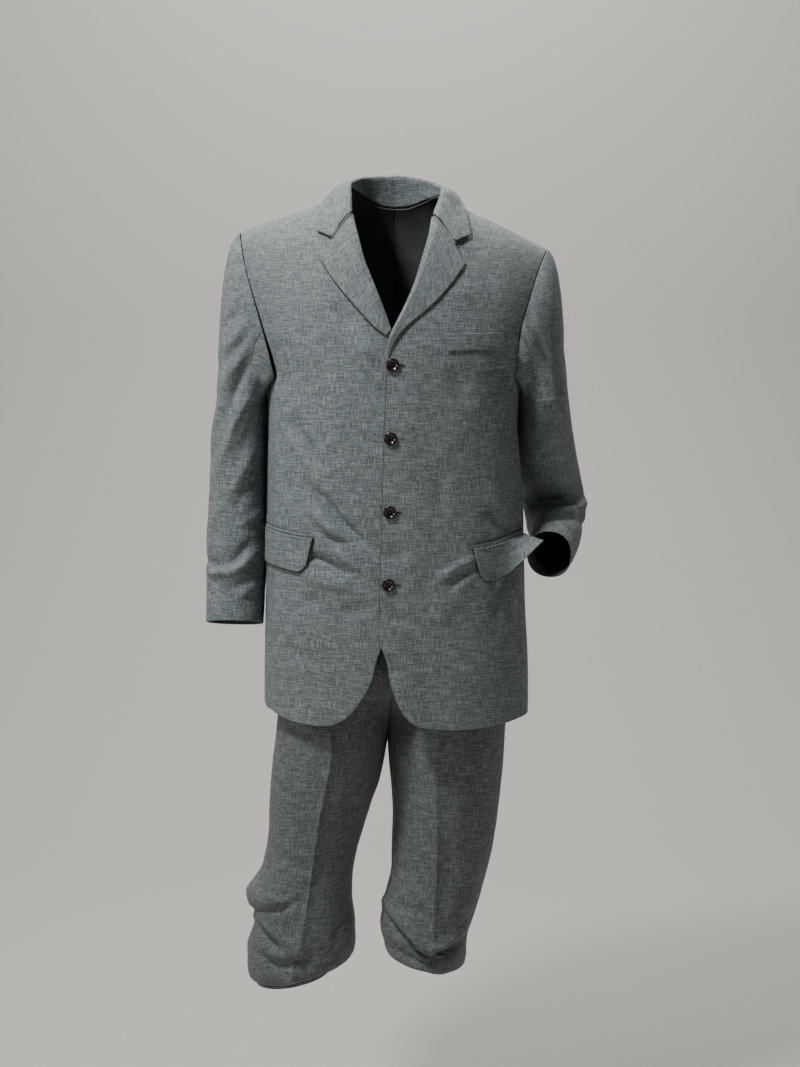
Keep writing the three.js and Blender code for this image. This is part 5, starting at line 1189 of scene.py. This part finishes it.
for k, sgn in SIDES:
    low = k.lower()
    for front in (True, False):
        side = "front" if front else "back"
        rows = np.concatenate([lin(0, 1, 46), 1 + lin(0, len(TURN) - 1, 25)[1:]])
        mid = [0.4, 0.45, 0.475, 0.488, 0.4945, 0.498, 0.5, 0.502, 0.5055, 0.512, 0.525, 0.55, 0.6]
        cs = np.concatenate([lin(0.0005, 0.37, 20), mid, lin(0.63, 0.9995, 20)])
        f = (lambda c, v: leg_point(k, sgn, front, on_crease(c, crease_share(k, sgn, front, v)), v))
        half = sum(np.linalg.norm(f(a, 0.6) - f(b, 0.6)) for a, b in zip(cs[:-1], cs[1:]) if b <= 0.5)
        G, su, sv = dense(f, cs, rows, 3.2 if front else 5.0, fine_u=[(half, 9.0, 1.1)])
        shell(f"breeches_{side}_{low}", f"trouser_{side}_{low}", G, su, sv, LEG_WALL, (sgn < 0) != front,
              TROUSERS_SHADED if front else TROUSERS_SHADED_MORE, LINING, rip=0.7,
              uv_off=(3.3 * sgn, 0.4 if front else 1.9), rest=("waistband", f"knee_band_{low}"))
    B = BAND[k]
    hs = [0, 0.3, 0.8, 1.6] + list(np.arange(4, B["top"] - B["low"] - 3, 3)) + [B["top"] - B["low"] - e for e in (1.6, 0.8, 0.3, 0)]
    rings = [[band_ring(k, sgn, a, B["low"] + h) for h in hs] for a in np.arange(0, 360, 3.0)]
    ring_shell(f"knee_band_{low}", f"knee_band_{low}", rings, 2.4, TROUSERS_SHADED_MORE, None,
               (f"trouser_front_{low}", f"trouser_back_{low}"))


def waist_ring(s_deg, t):
    s = s_deg * RAD
    a, f, b = (lerp(WAIST[x + "1"], WAIST[x + "0"], t) for x in "afb")
    y = (-f if math.cos(s) > 0 else b) * abs(math.cos(s)) ** (2 / 2.2)
    return vec(a * spow(math.sin(s), 2 / 2.2), y, lerp(WAIST["low"], WAIST["top"], t))


wt = np.array([0, 0.3, 0.8, 1.6, 5, 9, 13, 17, 21, 25, 29, 32, 35.4, 36.2, 36.7, 37]) / 37
ring_shell("waistband", "waistband", [[waist_ring(a, t) for t in wt] for a in np.arange(0, 360, 2.5)], 2.4, TROUSERS_SHADED_MORE,
           LINING, ("trouser_front_r", "trouser_front_l"))


# ------------------------------------------------------------------ buttons
def turn_to(n):
    """3x3 whose third column is n, first column level"""
    n = unit(n)
    x = unit(np.cross(vec(0, 0, 1), n))
    return np.stack([x, np.cross(n, x), n], axis=1)


def button(name, node, d, t, at, normal, spin=0.0):
    """a turned four-hole button with a raised rim, dished middle and crossed thread"""
    R = turn_to(normal)
    c, s = math.cos(spin), math.sin(spin)
    R = R @ np.array([[c, -s, 0], [s, c, 0], [0, 0, 1]])
    r0 = d / 2
    prof = [(0.0, 0.56), (0.20, 0.56), (0.36, 0.57), (0.46, 0.60), (0.56, 0.72), (0.64, 0.88), (0.72, 0.97),
            (0.80, 1.0), (0.87, 0.98), (0.93, 0.90), (0.97, 0.78), (1.0, 0.60), (1.0, 0.44), (0.96, 0.26),
            (0.84, 0.10), (0.60, 0.02), (0.0, 0.0)]
    holes = [(0.145 * d * math.cos(a), 0.145 * d * math.sin(a)) for a in (0.785, 2.356, 3.927, 5.498)]
    hr = 1.25 if d > 16 else 0.95
    seg = 56
    # front face: a fine grid in the middle dish with the holes sunk through it
    V, F = [], []
    rings = []
    for pr, pz in prof[1:-1]:
        ids = []
        for i in range(seg):
            a = 2 * math.pi * i / seg
            ids.append(len(V))
            V.append((pr * r0 * math.cos(a), pr * r0 * math.sin(a), pz * t))
        rings.append(ids)
    for A, B in zip(rings[:-1], rings[1:]):
        for i in range(seg):
            j = (i + 1) % seg
            F.append((A[i], B[i], B[j], A[j]))
    bot = len(V)
    V.append((0, 0, 0))
    for i in range(seg):
        F.append((rings[-1][i], bot, rings[-1][(i + 1) % seg]))
    # middle disc out of a polar grid between the holes: each hole is a sunk cup
    top = prof[1][1] * t
    me = bpy.data.meshes.new(name + "_disc")
    V2, F2 = [(x, y, z) for x, y, z in V], list(F)
    import bmesh
    bm = bmesh.new()
    vs = [bm.verts.new(v) for v in V2]
    for f in F2:
        bm.faces.new([vs[i] for i in f])
    inner = [vs[i] for i in rings[0]]
    cups = []
    for hx, hy in holes:
        loop = []
        for i in range(14):
            a = 2 * math.pi * i / 14
            loop.append(bm.verts.new((hx + hr * math.cos(a), hy + hr * math.sin(a), top)))
        cups.append(loop)
    edges = [bm.edges.get((inner[i], inner[(i + 1) % seg])) for i in range(seg)]
    for loop in cups:
        edges += [bm.edges.new((loop[i], loop[(i + 1) % 14])) for i in range(14)]
    bmesh.ops.triangle_fill(bm, use_beauty=True, use_dissolve=False, edges=edges, normal=(0, 0, 1))
    for f in list(bm.faces):
        if len(f.verts) == 3:
            c0 = f.calc_center_median()
            if abs(c0.z - top) < 1e-4 and any((c0.x - hx) ** 2 + (c0.y - hy) ** 2 < (hr * 0.9) ** 2 and
                                              all(v in loop for v in f.verts) for (hx, hy), loop in zip(holes, cups)):
                bm.faces.remove(f)
    for loop in cups:
        lowr = [bm.verts.new((v.co.x, v.co.y, 0.15 * t)) for v in loop]
        for i in range(14):
            j = (i + 1) % 14
            bm.faces.new((loop[i], lowr[i], lowr[j], loop[j]))
        bm.faces.new(lowr[::-1])
    bmesh.ops.recalc_face_normals(bm, faces=bm.faces)
    for v in bm.verts:
        p = R @ np.array(v.co) + at
        v.co = tuple(p / 1000)
    bm.to_mesh(me)
    bm.free()
    me.materials.append(HORN)
    me.polygons.foreach_set("use_smooth", np.ones(len(me.polygons), dtype=bool))
    me.set_sharp_from_angle(angle=0.9)
    o = bpy.data.objects.new(name, me)
    bpy.context.collection.objects.link(o)
    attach(o, "root")
    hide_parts(node)
    # thread: two crossed pairs over the middle
    V, F = [], []
    for a, b in ((0, 2), (1, 3)):
        for off in (-0.28, 0.28):
            p, q = np.array(holes[a]), np.array(holes[b])
            dirv = (q - p) / np.linalg.norm(q - p)
            side = np.array([-dirv[1], dirv[0]]) * off
            pts = [np.append(p + side, 0.25 * t), np.append(p + side * 1.0, top + 0.1), np.append(p + dirv * 0.7 + side, top + 0.42),
                   np.append((p + q) / 2 + side, top + 0.62 + (0.25 if a else 0)), np.append(q - dirv * 0.7 + side, top + 0.42),
                   np.append(q + side, top + 0.1), np.append(q + side, 0.25 * t)]
            tube(V, F, pts, 0.30)
    V = [tuple(R @ np.array(v) + at) for v in V]
    th = mesh_object(name + "_thread", V, F, None, [BUTTON_THREAD_AND_SLIT_SHADE])
    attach(th, "root")
    return o


def tube(V, F, pts, r, seg=7, close=False):
    pts = [np.array(p, float) for p in pts]
    m = len(pts)
    base = len(V)
    for i, p in enumerate(pts):
        a, b = pts[(i - 1) % m if close else max(0, i - 1)], pts[(i + 1) % m if close else min(m - 1, i + 1)]
        d = unit(b - a)
        s = unit(np.cross(d, vec(0.31, 0.12, 0.94) if abs(d[2]) < 0.9 else vec(1, 0.1, 0)))
        w = np.cross(d, s)
        for j in range(seg):
            q = 2 * math.pi * j / seg
            V.append(tuple(p + (s * math.cos(q) + w * math.sin(q)) * r))
    for i in range(m if close else m - 1):
        i2 = (i + 1) % m
        for j in range(seg):
            j2 = (j + 1) % seg
            F.append((base + i * seg + j, base + i2 * seg + j, base + i2 * seg + j2, base + i * seg + j2))
    if not close:
        F.append(tuple(base + j for j in range(seg))[::-1])
        F.append(tuple(base + (m - 1) * seg + j for j in range(seg)))


# gorge seam between collar and lapel, filled by the seam allowance
for k, sgn in SIDES:
    V, F2 = [], []
    pts = [lapel_point(k, sgn, 1.0, r) for r in np.linspace(0.0, GORGE[k]["r"], 26)]
    tube(V, F2, [p + vec(0, -0.1, 0.3) for p in pts], 1.35, 7)
    o = mesh_object(f"gorge_{k.lower()}", V, F2, None, [GORGE_THREAD])
    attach(o, "root")

# seam allowances behind the long seams
for name in sorted(SEAM_LINES):
    V, F2 = [], []
    for line in SEAM_LINES[name]:
        tube(V, F2, list(line[::3]) + [line[-1]], 0.72, 6)
    o = mesh_object(f"seam_{name}", V, F2, None, [SEAM_THREAD])
    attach(o, "root")

# a dark grey line along the edge of the lapping front: painted shadow in the gap beside the edge
V, F2, pts = [], [], []
for z in np.linspace(-278, -664, 90):
    X = look(OPENING, "z", "L", z) + 0.9
    p = on_front("L", 1, X, z, 0)
    pts.append((p, unit(on_front("L", 1, X, z, 1) - p)))
P, nn = np.array([p for p, _ in pts]), np.array([n for _, n in pts])
lift = lift_of("jacket_front_l", P[:, None, :])[:, 0] + ripple(P, 0.5)
tube(V, F2, list(P + nn * (lift - 0.10)[:, None]), 0.62, 6)
o = mesh_object("edge_painted_shadow", V, F2, None, [GREY_THREAD_AND_EDGE_SHADOW])
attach(o, "root")

# a dark line under the turned edge of the right lapel and round the flaps: painted shadow
for k, sgn in SIDES[:1]:
    V, F2 = [], []
    run = np.array([lapel_point(k, sgn, t, 1.0) for t in np.linspace(0.03, 0.985, 60)])
    side = np.gradient(run, axis=0)
    side = np.stack([side[:, 2], 0 * side[:, 1], -side[:, 0]], -1)
    side /= np.linalg.norm(side, axis=1)[:, None]
    side *= np.sign((side[:, 0] * sgn).mean())
    tube(V, F2, list(run + side * 0.75 + np.array([0, 0.5, 0])), 0.6, 6)
    o = mesh_object(f"lapel_painted_shadow_{k.lower()}", V, F2, None, [EDGE_SHADOW_AND_SEAM_THREAD])
    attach(o, "root")

for k, sgn in SIDES:
    V, F2 = [], []
    low = GAP + WALL + 0.5 - 0.9
    run = [flap_point(k, sgn, 0, h, low) for h in np.linspace(0.04, 0.84, 14)]
    run += [flap_point(k, sgn, g, 0.84 + 0.16 * math.sin(g / 0.14 * 90 * RAD), low) for g in (0.015, 0.03, 0.05, 0.08, 0.11)]
    run += [flap_point(k, sgn, g, 1, low) for g in np.linspace(0.14, 0.92 if k == "R" else 0.62, 20)]
    run = np.array(run)
    away = run - flap_point(k, sgn, 0.35, 0.35, low)
    away[:, 1] = 0
    away /= np.linalg.norm(away, axis=1)[:, None]
    tube(V, F2, list(run + away * (1.5 if k == "L" else 1.1) + np.array([0, -0.2, 0])), 0.7, 6)
    o = mesh_object(f"flap_painted_shadow_{k.lower()}", V, F2, None, [EDGE_SHADOW_AND_SEAM_THREAD])
    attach(o, "root")

# the pocket seams: a line above the jet and short stitches along the flap's root
for k, sgn in SIDES:
    V, F2 = [], []
    edges = [[jet_point(k, sgn, g, h) for g in np.linspace(0.02, 0.98, 34)] for h in (0, 1)]
    top = max(edges, key=lambda e: sum(p[2] for p in e))
    tube(V, F2, [p + vec(0, -0.9, 0.7) for p in top], 0.5, 6)
    o = mesh_object(f"jet_seam_{k.lower()}", V, F2, None, [EDGE_SHADOW_AND_SEAM_THREAD])
    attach(o, "root")
    V, F2 = [], []
    for g in np.linspace(0.06, 0.90 if k == "R" else 0.42, 15 if k == "R" else 7):
        tube(V, F2, [flap_point(k, sgn, g + d, 0.075, GAP + WALL * 2 + 0.75) for d in (0, 0.012, 0.024)], 0.42, 6)
    o = mesh_object(f"flap_stitch_{k.lower()}", V, F2, None, [EDGE_SHADOW_AND_SEAM_THREAD])
    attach(o, "root")

# front darts: a sewn line sunk into the cloth
for k, sgn, run in (("R", -1, [(130, -300), (129, -345), (128, -400), (126, -470), (124, -527)]),
                    ("L", 1, [(129, -322), (125, -372), (126, -440), (129, -500), (129, -545)])):
    V, F2 = [], []
    pts = []
    for (xa, za), (xb, zb) in zip(run[:-1], run[1:]):
        for j in range(12):
            X, z = lerp(xa, xb, j / 12), lerp(za, zb, j / 12)
            pts.append((X, z))
    pts = np.array(pts)
    P = np.array([on_front(k, sgn, X, z, 0) for X, z in pts])
    nn = np.array([unit(on_front(k, sgn, X, z, 1) - p) for (X, z), p in zip(pts, P)])
    lift = lift_of(f"jacket_front_{k.lower()}", P[:, None, :])[:, 0] + ripple(P, 0.5)
    P = P + nn * (lift - 0.12)[:, None]
    tube(V, F2, list(P), 0.42, 6)
    o = mesh_object(f"dart_{k.lower()}", V, F2, None, [GREY_THREAD_AND_EDGE_SHADOW])
    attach(o, "root")

for i, (bx, bz) in enumerate(BUTTONS):
    p, q = on_front("L", 1, bx, bz, 0), on_front("L", 1, bx, bz, 1)
    button(f"horn_front_{i + 1}", f"front_button_{i + 1}", 20, 4.2, p + (q - p) * 0.6, q - p, 0.1 * i)
    # worked buttonhole running away from the edge
    V, F = [], []
    L, W = 25.0, 1.5
    path = []
    for a in np.linspace(0, 2 * math.pi, 44, endpoint=False):
        ex, ez = math.cos(a), math.sin(a)
        px = bx - 7 + L / 2 + (L / 2 - W) * (1 if ex > 0 else -1) * min(1, abs(ex) * 1.6) + W * ex
        path.append(on_front("L", 1, px, bz + W * ez, 0.35))
    tube(V, F, path, 0.62, 6, close=True)
    o = mesh_object(f"buttonhole_{i + 1}", V, F, None, [GREY_THREAD_AND_EDGE_SHADOW])
    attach(o, "root")
    # the cut of the buttonhole, a dark strip: painted shade in the opening
    V, F = [], []
    n = 12
    for j in range(n + 1):
        px = bx - 5 + (L - 4) * j / n
        for dz in (-0.55, 0.55):
            V.append(tuple(on_front("L", 1, px, bz + dz, 0.12)))
    F = [(2 * j, 2 * j + 2, 2 * j + 3, 2 * j + 1) for j in range(n)]
    o = mesh_object(f"buttonhole_painted_shade_{i + 1}", V, F, None, [BUTTON_THREAD_AND_SLIT_SHADE])
    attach(o, "root")

for k, sgn in SIDES:
    last, e = len(STATIONS[k]), 0.01
    for i, d in enumerate(CUFF_BUTTON_AT):
        v, deg = last - d / (65 if k == "R" else 42.5), SLEEVE_BACK_SEAM + 13
        f = (lambda a, b: sleeve_point(k, sgn, a, b))
        n = unit(np.cross(f(deg + 0.1, v) - f(deg - 0.1, v), f(deg, v + e) - f(deg, v - e))) * -sgn
        button(f"horn_cuff_{k.lower()}{i + 1}", f"cuff_button_{k.lower()}{i + 1}", 14, 3.6, f(deg, v) + n * 1.5, n, 0.2 * i)

# ------------------------------------------------------------------ the cut
for name, (o, w, l, area, held, rest) in SHEETS.items():
    share = area / (w * l)
    if share > 1:
        w, l = w * math.sqrt(share) * 1.001, l * math.sqrt(share) * 1.001
    w, l = max(w, 0.0101), max(l, 0.0101)
    print("SHEET", name, round(w, 4), round(l, 4), round(area, 5), round(share, 3))

# ------------------------------------------------------------------ stage
FLOOR = -1.56
me = bpy.data.meshes.new("floor")
s = 12.0
sweep = [(-s, FLOOR), (1.6, FLOOR)] + [(1.6 + 1.6 * math.sin(a * RAD), FLOOR + 1.6 - 1.6 * math.cos(a * RAD))
                                       for a in range(5, 91, 5)] + [(3.2, 9.0)]
me.from_pydata([(x, y, z) for y, z in sweep for x in (-s, s)], [],
               [(2 * j, 2 * j + 1, 2 * j + 3, 2 * j + 2) for j in range(len(sweep) - 1)])
for poly in me.polygons:
    poly.use_smooth = True
floor = bpy.data.objects.new("floor", me)
bpy.context.collection.objects.link(floor)
m, t, b = nodes("floor_paper")
b.inputs["Base Color"].default_value = (0.52, 0.51, 0.49, 1)
b.inputs["Roughness"].default_value = 0.95
b.inputs["Specular IOR Level"].default_value = 0.1
me.materials.append(m)

world = bpy.data.worlds.new("studio") if bpy.context.scene.world is None else bpy.context.scene.world
bpy.context.scene.world = world
world.use_nodes = True
bg = world.node_tree.nodes.get("Background") or world.node_tree.nodes.new("ShaderNodeBackground")
bg.inputs[0].default_value = (0.80, 0.81, 0.83, 1)
bg.inputs[1].default_value = 0.07


def area_light(name, at, look_at, size, power, col=(1, 1, 1)):
    d = bpy.data.lights.new(name, "AREA")
    d.shape, d.size, d.energy, d.color = "SQUARE", size, power, col
    o = bpy.data.objects.new(name, d)
    bpy.context.collection.objects.link(o)
    o.location = at
    v = np.array(look_at, float) - np.array(at, float)
    from mathutils import Vector
    o.rotation_euler = Vector(v).to_track_quat("-Z", "Y").to_euler()


area_light("key", (-1.02, -1.10, 1.46), (-0.08, 0, -0.45), 0.32, 54, (1.0, 0.99, 0.97))
area_light("left", (-2.5, -1.2, 0.15), (-0.05, 0, -0.4), 0.7, 17, (1.0, 0.99, 0.97))
area_light("right", (1.9, -2.0, -0.5), (0, 0, -0.7), 0.9, 5, (1.0, 0.99, 0.97))
area_light("back", (0.8, 1.7, 1.6), (0, 0, -0.4), 1.2, 14)
area_light("sweep", (0, 0.9, 2.6), (0, 3.0, -0.4), 2.4, 150, (1.0, 0.97, 0.93))

cam = bpy.data.cameras.new("view")
cam.lens, cam.sensor_width, cam.sensor_fit = 51.28, 36.0, "AUTO"
cam.clip_end = 100
co = bpy.data.objects.new("view", cam)
bpy.context.collection.objects.link(co)
co.location = (0.0079, -2.4, -0.3807)
co.rotation_euler = (math.radians(86.1), 0, 0)
bpy.context.scene.camera = co

bpy.context.view_layer.update()
